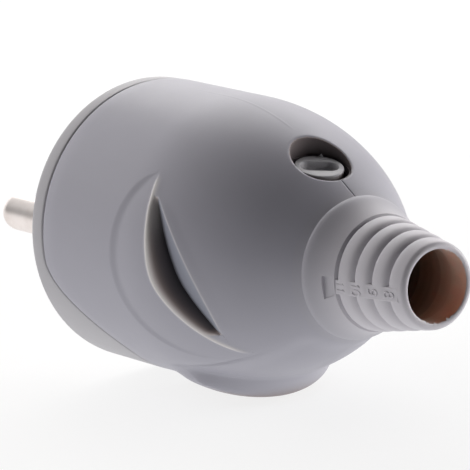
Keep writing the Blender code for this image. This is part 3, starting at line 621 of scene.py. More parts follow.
# %% Lines of a grip
PART_GAP = 0.3
RIM_T, TONGUE_END, TONGUE_FROM, TONGUE_FULL = 2.8, 12.5, 95.0, 140.0
GRIP_TOP, GRIP_MID, GRIP_LOW = 50.5, 87.0, 135.5
LIP_X, LIP_LEAN, LIP_TURN, LIP_RUN, LIP_BLEND = 24.19, 0.035, 95.0, 0.215, 6.0
GRIP_FRONT, GRIP_TOP_X, GRIP_LOW_X = 17.9, 24.5, 35.0
SLOT_MID, SLOT_HALF, SLOT_DEPTH, CREVICE, CREVICE_WIDE = 90.0, 29.5, 1.95, 1.1, 0.5
SLOT_BACK, SLOT_BACK_AT, SLOT_CURVE = 34.4, 116.0, 0.00274
SLOT_FACE, FACE_GAIN, FACE_AT, FACE_END = 0.28, 0.003, 74.0, 0.65


def parting(angle):
    """Where the casing meets the insert. Underneath, the line swings back for a tongue."""
    off_top = min(angle, 360.0 - angle)
    swing = smooth_step((off_top - TONGUE_FROM) / (TONGUE_FULL - TONGUE_FROM))
    return RIM_T + (TONGUE_END - RIM_T) * swing


def slot_share(off_top):
    """One in the slot's middle, zero at its ends."""
    return arch(off_top - SLOT_MID, SLOT_HALF)


def grip_lines(off_top):
    """Front edge, lip, crevice, foot of the ramp and rear edge of a grip, at an angle."""
    if off_top < GRIP_MID:
        front = blend(GRIP_TOP_X, GRIP_FRONT, arch(GRIP_MID - off_top, GRIP_MID - GRIP_TOP))
    else:
        front = blend(GRIP_LOW_X, GRIP_FRONT, arch(off_top - GRIP_MID, GRIP_LOW - GRIP_MID))
    turn = off_top - LIP_TURN
    lip = (LIP_X + LIP_LEAN * (off_top - GRIP_TOP)
           + LIP_RUN * (math.hypot(turn, LIP_BLEND) + turn) / 2)
    back = max(SLOT_BACK - SLOT_CURVE * min(off_top - SLOT_BACK_AT, 0.0) ** 2, lip + 0.6)
    foot = blend(lip, back, SLOT_FACE + FACE_GAIN * (off_top - FACE_AT)
                 + FACE_END * (1.0 - slot_share(off_top)) ** 2)
    crevice = max(foot - CREVICE_WIDE, blend(lip, foot, 0.6))
    return min(front, lip - 0.5), lip, crevice, foot, back


print("lines at the slot's middle:", [round(line, 1) for line in grip_lines(SLOT_MID)], "mm")

# %% [markdown]
# ## The relief of a grip
# Between those lines the height is simple: a soft crease down into the facet, a straight
# rise to the lip, a round shoulder that rolls over into the crevice, and a ramp back out.
# Two fine beads are added, one along the lip and one along the slot's rear edge. They
# are about a tenth of a millimetre high and catch the light as thin bright lines.

# %% Height inside a grip
GRIP_DIP, GRIP_EDGE, GRIP_FADE = 0.20, 1.5, 18.0
LIP_BEAD, BACK_BEAD = 0.10, 0.08


def grip_relief(x, off_top):
    if not GRIP_TOP < off_top < GRIP_LOW:
        return 0.0
    front, lip, crevice, foot, back = grip_lines(off_top)
    ends = (smooth_step((off_top - GRIP_TOP) / 5.0) * smooth_step((GRIP_LOW - off_top) / 5.0))
    bead = LIP_BEAD * ends * math.exp(-((x - lip) / (0.20 if x < lip else 0.8)) ** 2)
    if front < x < lip:
        dip = (GRIP_DIP * min((lip - front - 0.5) / 4.0, 1.0)
               * smooth_step((GRIP_LOW + 1.0 - off_top) / GRIP_FADE))
        edge = min(GRIP_EDGE, 0.45 * (lip - front))
        if x < front + edge:
            return bead - dip * smooth_step((x - front) / edge)
        return bead - dip * (lip - x) / (lip - front - edge)
    share = slot_share(off_top)
    drop, rim = SLOT_DEPTH * share ** 1.5, BACK_BEAD * min(share * 2.0, 1.0)
    deepest = drop + CREVICE * min(share * 1.6, 1.0)
    if x < lip:
        return bead
    if x <= crevice:
        along = (x - lip) / (crevice - lip)
        return bead - deepest * (1.0 - (1.0 - along ** 3) ** (1 / 3))
    if x <= foot:
        return bead - blend(deepest, drop, (x - crevice) / (foot - crevice))
    if x < back:
        ramp = drop * (back - x) / (back - foot)
        return bead + rim * smooth_step((x - back) / 1.2 + 1.0) - ramp
    return bead + rim * (1.0 - smooth_step((x - back) / 2.2))


slot_floor = grip_relief(grip_lines(SLOT_MID)[2], SLOT_MID)
print("the slot's crevice lies at", round(slot_floor, 2), "mm")

# %% [markdown]
# ## The pull lobe
# Under the plug a swelling gives the thumb a hold. It starts softly, has its crest near
# the middle of the dome and falls off steeply behind. Its rear edge meets the casing in a
# hollow crease. The casing is a little flatter behind it.

# %% Height of the lobe
LOBE_HALF, LOBE_SPREAD, LOBE_RISE = 38.5, 43.7, 1.74
LOBE_START, LOBE_CREST, LOBE_BACK = 14.9, 28.9, 33.0
LOBE_SHOULDER, LOBE_CURVE, TAIL_FLAT = 5.1, 0.0065, 0.4


def lobe_lines(off_bottom):
    side = min(off_bottom / LOBE_HALF, 1.0)
    start = LOBE_START + LOBE_SHOULDER * (1.0 - math.sqrt(1.0 - side ** 4))
    crest = LOBE_START + (LOBE_CREST - LOBE_START) * arch(off_bottom, LOBE_SPREAD)
    back = LOBE_BACK - LOBE_CURVE * min(off_bottom, LOBE_HALF) ** 2
    return start, min(max(crest, start + 1.0), back - 1.0), back


def lobe_relief(x, off_bottom):
    if off_bottom > LOBE_HALF + 8.0:
        return 0.0
    start, crest, back = lobe_lines(off_bottom)
    height = (LOBE_RISE * arch(off_bottom, LOBE_SPREAD)
              * smooth_step((LOBE_HALF - off_bottom) / 7.0))
    flat = -(TAIL_FLAT * smooth_step((LOBE_HALF + 8.0 - off_bottom) / 16.0)
             * smooth_step((x - back + 1.0) / 2.0) * smooth_step((BODY_LEN - 0.7 - x) / 3.5))
    if start < x < crest:
        return height * smooth_step((x - start) / (crest - start))
    if crest <= x < back:
        return flat + height * smooth_step((back - x) / (back - crest))
    return flat


print("the lobe stands", round(lobe_relief(LOBE_CREST, 0.0), 2), "mm out at its crest")

# %% [markdown]
# ## The lock screw's place
# The lock screw leans towards the sleeve and sits in a recess in the dome. The recess has
# a rounded edge, as every opening in a moulding has. A bevel on the cut edge would need a
# clean loop of faces. It is easier to lower the surface around the opening before the
# hole is cut: the closer to the edge, the lower, along a quarter of a circle.

# %% The recess and its soft edge
LOCK_X, LOCK_TILT, HEAD_SINK = 38.9, 15.5, 1.4
HEAD_R, HEAD_T, FREE_GAP = 3.1, 1.8, 0.65
BORE_R, OPENING_EXTRA, BORE_EDGE = HEAD_R + FREE_GAP, 0.35, 0.34
OPENING_SHIFT = 0.4 * OPENING_EXTRA

SCREW_OUT = Vector((math.sin(math.radians(LOCK_TILT)), 0, math.cos(math.radians(LOCK_TILT))))
SCREW_PLACE = place_along(Vector((LOCK_X, 0, body_radius(LOCK_X))) - HEAD_SINK * SCREW_OUT,
                          SCREW_OUT)
TO_SCREW = SCREW_PLACE.inverted()


def from_recess(point):
    """Height over the screw's head, and distance from the axis of the oval recess."""
    local = TO_SCREW @ point
    along = (local.x - OPENING_SHIFT) * BORE_R / (BORE_R + OPENING_EXTRA)
    return local.z, math.hypot(along, local.y)


def recess_drop(point):
    """How far the surface sinks beside the recess, at a point in millimetres."""
    height, across = from_recess(point)
    if height < -3.0:
        return 0.0
    near = min(max(BORE_EDGE - (across - BORE_R), 0.0), BORE_EDGE)
    return BORE_EDGE - math.sqrt(BORE_EDGE ** 2 - near ** 2)


print("the recess is", round(2 * BORE_R, 1), "mm wide with an edge of", BORE_EDGE, "mm")

# %% [markdown]
# ## The mould's seam
# The two halves of the mould meet along the top of the plug. The seam is a hair-thin ridge
# in front of the recess and a hair-thin groove behind it, where the halves were a little
# out of line. Such a mark is easily left out, and then the plug looks like a drawing.

# %% Height along the seam
def seam(x, off_top):
    if off_top > 0.9:
        return 0.0
    sharp = 1.0 - smooth_step(off_top / 0.8)
    ridge = 0.03 * smooth_step((x - 8.0) / 14.0) * smooth_step((34.0 - x) / 2.0)
    return sharp * (ridge - 0.09 * smooth_step((x - 42.0) / 0.8))


def outer_radius(x, angle):
    """The outside of the casing, averaged over a quarter of a millimetre to soften edges."""
    off_top = min(angle, 360.0 - angle)
    total = 0.0
    for shift in (-0.12, -0.06, 0.0, 0.06, 0.12):
        total += body_radius(x + shift) + grip_relief(x + shift, off_top)
    return total / 5 + lobe_relief(x, 180.0 - off_top) + seam(x, off_top)


print("radius under the seam's middle:", round(outer_radius(30.0, 0.0), 2), "mm")

# %% [markdown]
# ## The outside's rows
# Rows of points follow the five lines, closer together where the surface turns sharply:
# at the parting edge, at the lip, at the slot's rear edge and around the recess.

# %% Rows over the casing
PLAIN_LINES = (17.0, 22.0, 25.5, 27.0, 31.0)


def feature_lines(off_top):
    """The x of five lines along the casing that rows of points gather at."""
    grip = grip_lines(min(max(off_top, GRIP_TOP), GRIP_LOW))
    if off_top < GRIP_TOP:
        share = smooth_step((GRIP_TOP - off_top) / 14.0)
        return [blend(line, other, share) for line, other in zip(grip, PLAIN_LINES)]
    if off_top > GRIP_LOW:
        start, crest, back = lobe_lines(180.0 - off_top)
        lobe = (start, crest, blend(crest, back, 0.45), blend(crest, back, 0.6), back)
        share = smooth_step((off_top - GRIP_LOW) / (180.0 - LOBE_HALF - GRIP_LOW))
        return [blend(line, other, share) for line, other in zip(grip, lobe)]
    return list(grip)


def spread(low, high, count, crowd_low=False, crowd_high=False):
    """Stations from low up to, but not at, high. They can crowd at either end."""
    result = []
    for step in range(count):
        share = step / count
        if crowd_low and crowd_high:
            share = smooth_step(share)
        elif crowd_low:
            share = share ** 1.8
        elif crowd_high:
            share = 1.0 - (1.0 - share) ** 1.8
        result.append(low + (high - low) * share)
    return result


def casing_rows(angle):
    """(x, radius) from the parting edge to the collar."""
    front, lip, crevice, foot, back = feature_lines(min(angle, 360.0 - angle))
    first = parting(angle) + PART_GAP / 2
    front = max(front, first + 1.0)
    stations = (spread(first + 0.2, front, 12, crowd_high=True)
                + spread(front, lip, 22, True, True) + spread(lip, crevice, 16, True, True)
                + spread(crevice, foot, 4) + spread(foot, back, 11, True, True)
                + spread(back, back + 1.2, 6, True)
                + spread(back + 1.2, BODY_LEN, 84) + [BODY_LEN])
    edge = outer_radius(first, angle)
    rows = [(first, edge - 0.2), (first + 0.04, edge - 0.08), (first + 0.1, edge - 0.02)]
    for x in stations:
        radius = outer_radius(x, angle)
        rows.append((x, radius - recess_drop(on_section(x, radius, angle))))
    return rows


print("rows through the middle of a grip:", len(casing_rows(SLOT_MID)))

# %% [markdown]
# ## The sleeve
# The collar carries a soft sleeve in four rings, each a cut smaller than the last, so that
# the owner can trim it to the cord. A ring is a rounded saw-tooth: a steep face towards
# the collar with a fine bright edge, and a long slope that dives into the next groove.

# %% Rows over collar, rings and mouth
RING_START, RING_PITCH, RING_COUNT = 50.5, 2.7, 4
RING_R, RING_STEP, GROOVE_DEPTH = 7.1, 0.49, 0.30
COLLAR_R, SLEEVE_BORE, LIP_R = 8.95, 4.55, 5.15
SLEEVE_END = RING_START + RING_COUNT * RING_PITCH - 0.3


def sleeve_rows():
    """(x, radius) from the collar's rim to the rounded mouth."""
    foot = RING_START - 0.5
    rows = [(BODY_LEN + 0.08, COLLAR_R - 0.06), (BODY_LEN + 0.2, COLLAR_R),
            (BODY_LEN + 0.4, COLLAR_R), (BODY_LEN + 0.65, COLLAR_R - 0.06)]
    for step in range(9):
        share = step / 8
        hollow = 0.10 * math.sin(math.pi * share)
        rows.append((blend(BODY_LEN + 0.95, foot, share),
                     blend(COLLAR_R - 0.16, RING_R + 0.2, share) - hollow))
    for ring in range(RING_COUNT):
        edge, radius = RING_START + ring * RING_PITCH, RING_R - ring * RING_STEP
        rows += [(edge - 0.30, radius - GROOVE_DEPTH), (edge - 0.18, radius - 0.28),
                 (edge - 0.07, radius - 0.17), (edge, radius - 0.06),
                 (edge + 0.10, radius - 0.01), (edge + 0.24, radius),
                 (edge + 0.55, radius - 0.02), (edge + 0.95, radius - 0.06)]
        if ring < RING_COUNT - 1:
            rows += [(edge + 1.35, radius - 0.12), (edge + 1.70, radius - 0.21),
                     (edge + 1.98, radius - 0.34), (edge + 2.20, radius - 0.52)]
    for step in range(1, 9):
        turn = math.pi / 2 * step / 8
        rows.append((SLEEVE_END - 0.75 * (1 - math.sin(turn)),
                     blend(LIP_R + 0.28, SLEEVE_BORE + 0.25, 1 - math.cos(turn))))
    return rows


print("rows over collar and sleeve:", len(sleeve_rows()), "up to", round(SLEEVE_END, 1), "mm")

# %% [markdown]
# ## The ragged mouth
# A moulding often keeps a little flash, a torn film of plastic, where the core met the
# mould. Here it hangs on the mouth's inner rim, mostly underneath. Smooth noise at each
# angle, cut off below a level, gives separate shreds and not an even frill.

# %% Inside of the casing
WALL, CHAMBER_END, SLOT_INSET = 2.0, DOME_START + 0.9, 2.2


def flash(angle):
    """How far the torn film reaches into the mouth, in millimetres."""
    here = noise.noise(Vector((angle * 0.19, 3.7, 0.0))) + 0.6 * noise.noise(
        Vector((angle * 0.61, 9.1, 0.0)))
    under = smooth_step(1.6 - abs(angle - 180.0) / 34.0)
    over = 0.5 * smooth_step(1.4 - abs(angle - 325.0) / 26.0)
    return 0.30 * max(here + 0.30, 0.0) * max(under, over)


def hollow_radius(x):
    inset = smooth_step((x - CHAMBER_END) / 4.6) * smooth_step((DOME_START + 18.5 - x) / 5.0)
    return body_radius(x) - WALL - SLOT_INSET * inset


def hollow_rows(angle):
    """(x, radius) from the mouth back to the parting edge."""
    film = flash(angle)
    rows = [(SLEEVE_END - 0.03, SLEEVE_BORE + 0.08),
            (SLEEVE_END - 0.10 - film, SLEEVE_BORE - film),
            (SLEEVE_END - 0.30 - film, SLEEVE_BORE)]
    for ring in reversed(range(RING_COUNT)):
        bore = SLEEVE_BORE + (RING_COUNT - 1 - ring) * RING_STEP
        edge = RING_START + ring * RING_PITCH
        if ring < RING_COUNT - 1:
            rows += [(edge + RING_PITCH - 1.0, bore - 0.1), (edge + RING_PITCH - 1.1, bore)]
        rows += [(edge + 0.4, bore), (edge - 0.75, bore), (edge - 0.85, bore + 0.08)]
    throat = SLEEVE_BORE + RING_COUNT * RING_STEP
    rows += [(RING_START - 1.6, throat), (BODY_LEN + 1.0, throat + 0.4)]
    for share in (0.962, 0.846, 0.78, 0.712, 0.63, 0.558,
                  0.48, 0.404, 0.33, 0.25, 0.173, 0.096):
        x = DOME_START + share * (BODY_LEN - DOME_START)
        rows.append((x, hollow_radius(x)))
    first = parting(angle) + PART_GAP / 2
    rows += [(CHAMBER_END, BODY_R - WALL), (first + 0.15, BODY_R - WALL),
             (first, BODY_R - WALL + 0.15)]
    return rows


print("rows over the inside:", len(hollow_rows(0.0)))

# %% [markdown]
# ## Putting the casing's skin together
# The columns stand close together near the seam and the recess, and wider elsewhere. The
# skin is a tube with a wall: its last row joins the first.

# %% The skin
def column_angles():
    half = ([0.0, 0.3, 0.6, 0.95] + [1.5 + 0.6 * step for step in range(35)]
            + [22.5 + 1.5 * step for step in range(105)] + [180.0])
    return half + [360.0 - angle for angle in reversed(half[1:-1])]


columns = column_angles()
profiles = [casing_rows(angle) + sleeve_rows() + hollow_rows(angle) for angle in columns]
casing_rings = [[on_section(*profile[row], angle) for angle, profile in zip(columns, profiles)]
                for row in range(len(profiles[0]))]
casing = skin("housing_shell", casing_rings, tube=True)
print(len(columns), "columns of", len(casing_rings), "rows")

# %% [markdown]
# ## The boss and its bores
# Inside, a round boss holds the threaded bush and gives the lock screw's head a floor.
# The boss is joined to the shell first, and the bores are cut through both afterwards,
# in the order in which a mould's core pins would shape them.

# %% Boss, bores and opening
GAP = 0.3
SHANK_R, NECK_R, BUSH_WALL, CLIP_T = 1.6, 0.95, 0.8, 0.6
HEAD_BASE = -HEAD_T
LEDGE_TOP = HEAD_BASE - GAP
LEDGE_BASE = LEDGE_TOP - 1.6

boss = plain_rod(BORE_R + 1.25, (0, 0, -1.3), (0, 0, LEDGE_BASE), SCREW_PLACE)
casing = join(casing, boss)
head_bore = plain_rod(BORE_R, (0, 0, LEDGE_TOP), (0, 0, 5), SCREW_PLACE, 128)
bush_bore = plain_rod(SHANK_R + GAP + BUSH_WALL + GAP, (0, 0, LEDGE_BASE - 3),
                      (0, 0, LEDGE_TOP + 1), SCREW_PLACE)
stretch = Matrix.Translation((OPENING_SHIFT, 0, 0)) @ Matrix.Diagonal(
    ((BORE_R + OPENING_EXTRA) / BORE_R, 1, 1, 1))
opening = plain_rod(BORE_R, (0, 0, -0.4), (0, 0, 5), SCREW_PLACE @ stretch, 128)
casing = cut(casing, head_bore, bush_bore, opening)
print("casing with its bores:", len(casing.polygons), "faces")

# %% [markdown]
# ## The strip of sizes
# Beside the rings runs a narrow strip with small raised numbers, the cord sizes at which
# the sleeve is cut. A pocket in the collar in front of it lets the knife in. The strip is
# a tapering bar joined to the rings.

# %% Strip and pocket
STRIP_Z = -0.3
strip_from, strip_to = RING_START - 0.6, SLEEVE_END - 0.95
strip_high, strip_low = RING_R + 0.1, RING_R - 3 * RING_STEP - 0.15


def strip_face(x):
    """Distance of the strip's face from the plug's axis."""
    return blend(strip_high, strip_low, (x - strip_from) / (strip_to - strip_from))


def bar(stations, edge):
    """A bar beside the sleeve, from (x, face, foot, lower z, upper z) at each station."""
    rings = []
    for x, face, foot, low, high in stations:
        rings.append([(x, -foot, low), (x, -face + edge, low), (x, -face, low + edge),
                      (x, -face, high - edge), (x, -face + edge, high), (x, -foot, high)])
    first, last = rings[0], rings[-1]
    ends = [[sum((Vector(p) for p in ring), Vector()) / 6] for ring in (first, last)]
    return skin("bar", [ends[0], *rings, ends[1]])


core = SLEEVE_BORE + RING_COUNT * RING_STEP
strip = bar([(strip_from, strip_face(strip_from), core + 0.4, STRIP_Z - 0.97, STRIP_Z + 0.90),
             (strip_to, strip_face(strip_to), SLEEVE_BORE + 0.4, STRIP_Z - 0.80,
              STRIP_Z + 0.95)], 0.10)
pocket = bar([(strip_from - 1.6, COLLAR_R + 2, strip_face(strip_from - 1.6) + 0.05,
               STRIP_Z - 1.75, STRIP_Z + 1.15),
              (strip_from, COLLAR_R + 2, strip_face(strip_from) - 0.10, STRIP_Z - 1.15,
               STRIP_Z + 1.10)], 0.0)
casing = cut(join(casing, strip), pocket)
print("casing with its strip:", len(casing.polygons), "faces")

# %% [markdown]
# ## Three finishes on one moulding
# The casing and the sleeve are one piece, but the bore needs its own finish. Faces behind
# the collar take the sleeve's finish, and of those, the ones that look towards the
# plug's axis take the bore's. All others keep the casing's.

# %% The casing in its place
housing = dressed(casing, "housing_shell", "casing", CASING_GREY, "casing_grey", "housing",
                  crease=38.0)
# The sleeve's finish carries painted light towards the mouth, and the bore's finish painted
# brown shade.
housing.data.materials.append(SLEEVE_GREY)
housing.data.materials.append(BORE_SHADE_PAINTED)
for face in housing.data.polygons:
    from_axis = Vector((0.0, face.center.y, face.center.z))
    inward = face.normal.dot(from_axis) < 0 and from_axis.length < (COLLAR_R - 2.0) * MM
    if inward and (BODY_LEN - 4.0) * MM < face.center.x < (SLEEVE_END - 0.3) * MM:
        face.material_index = 2
    elif face.center.x > (BODY_LEN - 1.0) * MM:
        face.material_index = 1
print("bore faces:", sum(face.material_index == 2 for face in housing.data.polygons))

# %% [markdown]
# ## Painting light and shade on the grips
# The lip and the slot were drawn with the same five lines at every angle, so the paint
# can use them too. Each point of the casing gets its marks: a painted highlight by how near
# it is to the lip or to the slot's rear edge, painted shade by how deep in the slot it lies,
# and whether it is on the ramp, which is painted darker. The wall of the lock screw's
# recess gets painted shade in the same way, darker towards its floor.

# %% Painted highlight and shade along lip and slot
def grip_marks(x, off_top):
    """Painted highlight of the edges, painted shade of the slot and place on the ramp, each
    from 0 to 1.
    """
    if not GRIP_TOP < off_top < GRIP_LOW:
        return 0.0, 0.0, 0.0
    _, lip, crevice, foot, back = grip_lines(off_top)
    ends = smooth_step((off_top - GRIP_TOP) / 6.0) * smooth_step((GRIP_LOW - off_top) / 8.0)
    share = slot_share(off_top)
    edge = ends * math.exp(-((x - lip) / (0.22 if x < lip else 0.55)) ** 2)
    edge = max(edge, 0.45 * min(share * 1.5, 1.0) * math.exp(-((x - back) / 0.14) ** 2))
    if not lip < x < back or share == 0.0:
        return edge, 0.0, 0.0
    if x <= crevice:
        return edge, min(share * 2.5, 1.0) * ((x - lip) / (crevice - lip)) ** 1.4, 0.0
    shade = 1.0 - smooth_step((x - foot) / min(1.4, 0.7 * (back - foot)))
    return edge, shade * min(share * 2.5, 1.0), float(x >= foot)


def recess_painted_shade(point):
    """The same for the recess of the lock screw: its wall gets painted shade, darker towards
    the floor.
    """
    height, across = from_recess(point)
    if across > BORE_R + 0.03 or height < LEDGE_BASE:
        return 0.0, 0.0, 0.0
    return 0.0, 0.70 + 0.30 * smooth_step(-height), 0.0


# The colour layer holds the painted highlight in red, the painted shade in green and the ramp
# in blue.
paint = housing.data.color_attributes.new("grip_marks", "FLOAT_COLOR", "POINT")
marked = 0
for point, dot in zip(housing.data.vertices, paint.data):
    x, y, z = point.co / MM
    marks = recess_painted_shade(point.co / MM)
    if not any(marks) and math.hypot(y, z) > hollow_radius(x) + 0.3:
        marks = grip_marks(x, math.degrees(math.atan2(abs(y), z)))
    dot.color = (*marks, 1.0)
    marked += any(marks)
print("painted points:", marked)

# %% [markdown]
# ## Raised numbers
# The numbers stand a tenth of a millimetre proud with rounded strokes, as engraving in a
# mould leaves them. A font would give flat letters with sharp sides, so each figure is a
# bent tube along its stroke. They read with their tops towards the sleeve's mouth.

# %% Strokes of the figures
def oval(middle, half_width, half_height, count=14):
    return [(half_width * math.sin(2 * math.pi * step / count),
             middle + half_height * math.cos(2 * math.pi * step / count))
            for step in range(count + 1)]


STROKES = {
    "1": [[(-0.12, 0.28), (0.06, 0.5), (0.06, -0.5)]],
    "0": [oval(0.0, 0.26, 0.5)],
    "9": [oval(0.2, 0.27, 0.3), [(0.27, 0.2), (0.27, -0.12), (0.16, -0.4), (-0.1, -0.5),
                                 (-0.24, -0.42)]],
    "8": [oval(0.24, 0.22, 0.26), oval(-0.25, 0.26, 0.26)],
}


def figure_points(text, x, height):
    """Strokes of a number on the strip: its top points along the plug, its right downwards."""
    lines = []
    for place, figure in enumerate(text):
        shift = (place - (len(text) - 1) / 2) * 0.66
        for stroke in STROKES[figure]:
            line = []
            for right, up in stroke:
                along = x + up * height
                line.append(Vector((along, -strip_face(along) - 0.01,
                                    STRIP_Z - (right + shift) * height * 0.92)))
            lines.append(line)
    return lines


print("figures to draw with:", " ".join(STROKES))

# %% [markdown]
# ## Tubes along a stroke
# A stroke becomes a thin tube with closed ends. Each point of it gets a small ring that
# stands across the stroke.

# %% The numbers
def tube_along(line, radius, sides=8):
    """A closed tube through points in millimetres. It is rounded off at its ends."""
    closed = (line[0] - line[-1]).length < 1e-6
    points = line[:-1] if closed else line
    rings = []
    for index, point in enumerate(points):
        before = points[index - 1] if index or closed else point
        is_last = index + 1 == len(points)
        after = point if is_last and not closed else points[(index + 1) % len(points)]
        along = (after - before).normalized()
        side = along.cross(Vector((0, -1, 0))).normalized()
        out = side.cross(along)
        rings.append([point + radius * (side * math.cos(2 * math.pi * k / sides)
                                        + out * math.sin(2 * math.pi * k / sides))
                      for k in range(sides)])
    if closed:
        return skin("stroke", rings, tube=True)
    first = points[0] + (points[0] - points[1]).normalized() * radius * 0.7
    last = points[-1] + (points[-1] - points[-2]).normalized() * radius * 0.7
    return skin("stroke", [[first], *rings, [last]])


def merged(meshes, name):
    """Several separate solids in one mesh."""
    bm = bmesh.new()
    for mesh in meshes:
        bm.from_mesh(mesh)
        bpy.data.meshes.remove(mesh)
    return closed_mesh(bm, name)


size_lines = []
for text, x, height in (("11", 50.95, 1.20), ("10", 53.4, 1.35), ("9", 56.1, 1.40),
                        ("8", 58.7, 1.45)):
    size_lines += figure_points(text, x, height)
dressed(merged([tube_along(line, 0.11) for line in size_lines], "size_numbers"),
        "size_numbers", "casing", SLEEVE_GREY, "casing_grey")

# %% [markdown]
# ## The front insert
# The insert is the plug's face. It is a thick plate with a skirt that enters the casing,
# and a tongue underneath that fills the gap in the casing's edge. All its outer corners
# are softly rounded, so that a thin shadow line shows where it meets the casing.

# %% Insert
PLATE_T, PIN_SEAT, PIN_Y, PIN_R, COLLAR_PIN_R = 3.2, 1.5, 9.5, 2.4, 3.6
EARTH_Z, EARTH_HOLE_R, SEAT_R = 10.0, 3.1, 3.9
SMALL_R, SMALL_END = 1.25, 1.3
SMALL_SCREW_DEEP, SMALL_SCREW_ANGLE = 6.82, math.radians(43.64)
SCREW_Y = (BODY_R - SMALL_SCREW_DEEP) * math.sin(SMALL_SCREW_ANGLE)
SCREW_Z = -(BODY_R - SMALL_SCREW_DEEP) * math.cos(SMALL_SCREW_ANGLE)


def insert_rows(angle):
    """(x, radius) over the insert, from the middle of the face round to its back."""
    rim, skirt = BODY_R - 0.1, BODY_R - WALL - GAP
    line, end = parting(angle) - PART_GAP / 2, parting(angle) + 2.5
    corners = [(0.0, rim - 2.0), (0.0, rim), (line, rim), (line, skirt), (end, skirt),
               (end, skirt - 1.4), (PLATE_T, skirt - 1.4), (PLATE_T, skirt - 3.0)]
    outline = []
    for index, radius in ((1, 0.6), (2, 0.38), (3, 0.1), (4, 0.3), (5, 0.2), (6, 0.4)):
        outline += rounded(corners[index - 1:index + 2], radius, 5)[1:-1]
    return [(0.0, rim - 4.0), *[tuple(p) for p in outline], (PLATE_T, skirt - 4.0)]


insert_columns = [3.0 * step for step in range(120)]
insert_profiles = [insert_rows(angle) for angle in insert_columns]
insert_rings = [[on_section(*profile[row], angle)
                 for angle, profile in zip(insert_columns, insert_profiles)]
                for row in range(len(insert_profiles[0]))]
insert = skin("insert", [[Vector((0, 0, 0))], *insert_rings, [Vector((PLATE_T, 0, 0))]])
print("insert skin:", len(insert.polygons), "faces")

# %% [markdown]
# ## Holes in the insert
# The face has the earth hole with a chamfer that leads the socket outlet's pin in. The
# two pins come through tight holes with a moulded ring round each. From behind, wider
# seats hold the collars of the pins and of the earth socket.

# %% Holes, seats and chamfers
def cone_tool(small, large, start, end):
    """A tapered cutter between two points, in millimetres."""
    place = place_along(start, Vector(end) - Vector(start))
    return turned("cone", [(0, 0), (small, 0), (large, (Vector(end) - Vector(start)).length),
                           (0, (Vector(end) - Vector(start)).length)], place, 0.001)


tools = [plain_rod(EARTH_HOLE_R, (-2, 0, EARTH_Z), (PLATE_T + 2, 0, EARTH_Z)),
         plain_rod(SEAT_R + GAP, (PIN_SEAT, 0, EARTH_Z), (PLATE_T + 2, 0, EARTH_Z)),
         cone_tool(EARTH_HOLE_R - 0.3, EARTH_HOLE_R + 0.7, (0.6, 0, EARTH_Z),
                   (-0.2, 0, EARTH_Z))]
for side in (1, -1):
    y = side * PIN_Y
    tools += [plain_rod(PIN_R + GAP, (-2, y, 0), (PLATE_T + 2, y, 0)),
              cone_tool(PIN_R + GAP - 0.2, PIN_R + GAP + 0.35, (0.35, y, 0), (-0.2, y, 0)),
              plain_rod(COLLAR_PIN_R + GAP, (PIN_SEAT, y, 0), (PLATE_T + 2, y, 0)),
              plain_rod(SMALL_R + GAP, (SMALL_END - GAP, side * SCREW_Y, SCREW_Z),
                        (PLATE_T + 2, side * SCREW_Y, SCREW_Z))]
dressed(cut(insert, *tools), "insert_face", "insert", INSERT_GREY, "insert_grey",
        "front_insert")

# %% [markdown]
# ## The lock screw
# Its head has a coin slot with soft edges. The slot could be cut with a Boolean, but a
# grid of rings over the head can simply dip where the slot is, which gives the soft
# edges for nothing. A small moulding nib stands on the head's far rim.

# %% Head with its slot and nib
SLOT_LEN, SLOT_WIDE, SLOT_DEEP, SLOT_ANGLE = 4.8, 2.5, 0.9, 63.0
CLAMP_TRAVEL = 2.4
SADDLE_TOP = LEDGE_BASE - GAP - CLAMP_TRAVEL
CLIP_TOP = SADDLE_TOP - GAP
CLIP_BASE = CLIP_TOP - CLIP_T
NECK_BASE = CLIP_BASE - GAP
TIP_BASE = NECK_BASE - CLIP_T
NIB_ANGLE, NIB_HALF, NIB_HIGH = 139.5, 5.0, 0.42


def slot_dip(u, v):
    """Depth of the coin slot at a place on the head."""
    turn = math.radians(SLOT_ANGLE)
    along = u * math.cos(turn) + v * math.sin(turn)
    across = v * math.cos(turn) - u * math.sin(turn)
    straight = (SLOT_LEN - SLOT_WIDE) / 2
    outside = math.hypot(max(abs(along) - straight, 0.0), across) - SLOT_WIDE / 2
    return SLOT_DEEP * smooth_step((0.12 - outside) / 0.34)


def nib(turn, reach):
    """Height of the small nib on the rim."""
    off = abs((math.degrees(turn) - NIB_ANGLE + 180) % 360 - 180)
    on_rim = smooth_step((reach - HEAD_R + 0.55) / 0.3)
    return NIB_HIGH * max(1.0 - off / NIB_HALF, 0.0) * on_rim


def lock_screw_mesh(sides=144):
    rim = rounded([(HEAD_R - 0.6, 0.0), (HEAD_R, 0.0), (HEAD_R, HEAD_BASE),
                   (SHANK_R, HEAD_BASE), (SHANK_R, SADDLE_TOP), (NECK_R, SADDLE_TOP),
                   (NECK_R, NECK_BASE), (SHANK_R, NECK_BASE), (SHANK_R, TIP_BASE),
                   (0.0, TIP_BASE)], 0.2, 5)
    path = [Vector((0.08 * step, 0.0)) for step in range(32)] + rim[1:]
    thread = (SADDLE_TOP + 0.2, HEAD_BASE - 0.3, 1.0, 0.22)
    rings = []
    for index, (reach, height) in enumerate(with_rows(path, thread)):
        if reach < 1e-6:
            dip = slot_dip(0, 0) if not index else 0.0
            rings.append([SCREW_PLACE @ Vector((0, 0, height - dip))])
            continue
        ring = []
        for side in range(sides):
            turn = 2 * math.pi * side / sides
            at = reach - (groove(height, turn, thread) if reach < 2 else 0.0)
            u, v = at * math.cos(turn), at * math.sin(turn)
            lift = nib(turn, reach) - slot_dip(u, v) if height > -0.5 else 0.0
            ring.append(SCREW_PLACE @ Vector((u, v, height + lift)))
        rings.append(ring)
    return skin("lock_screw", rings)


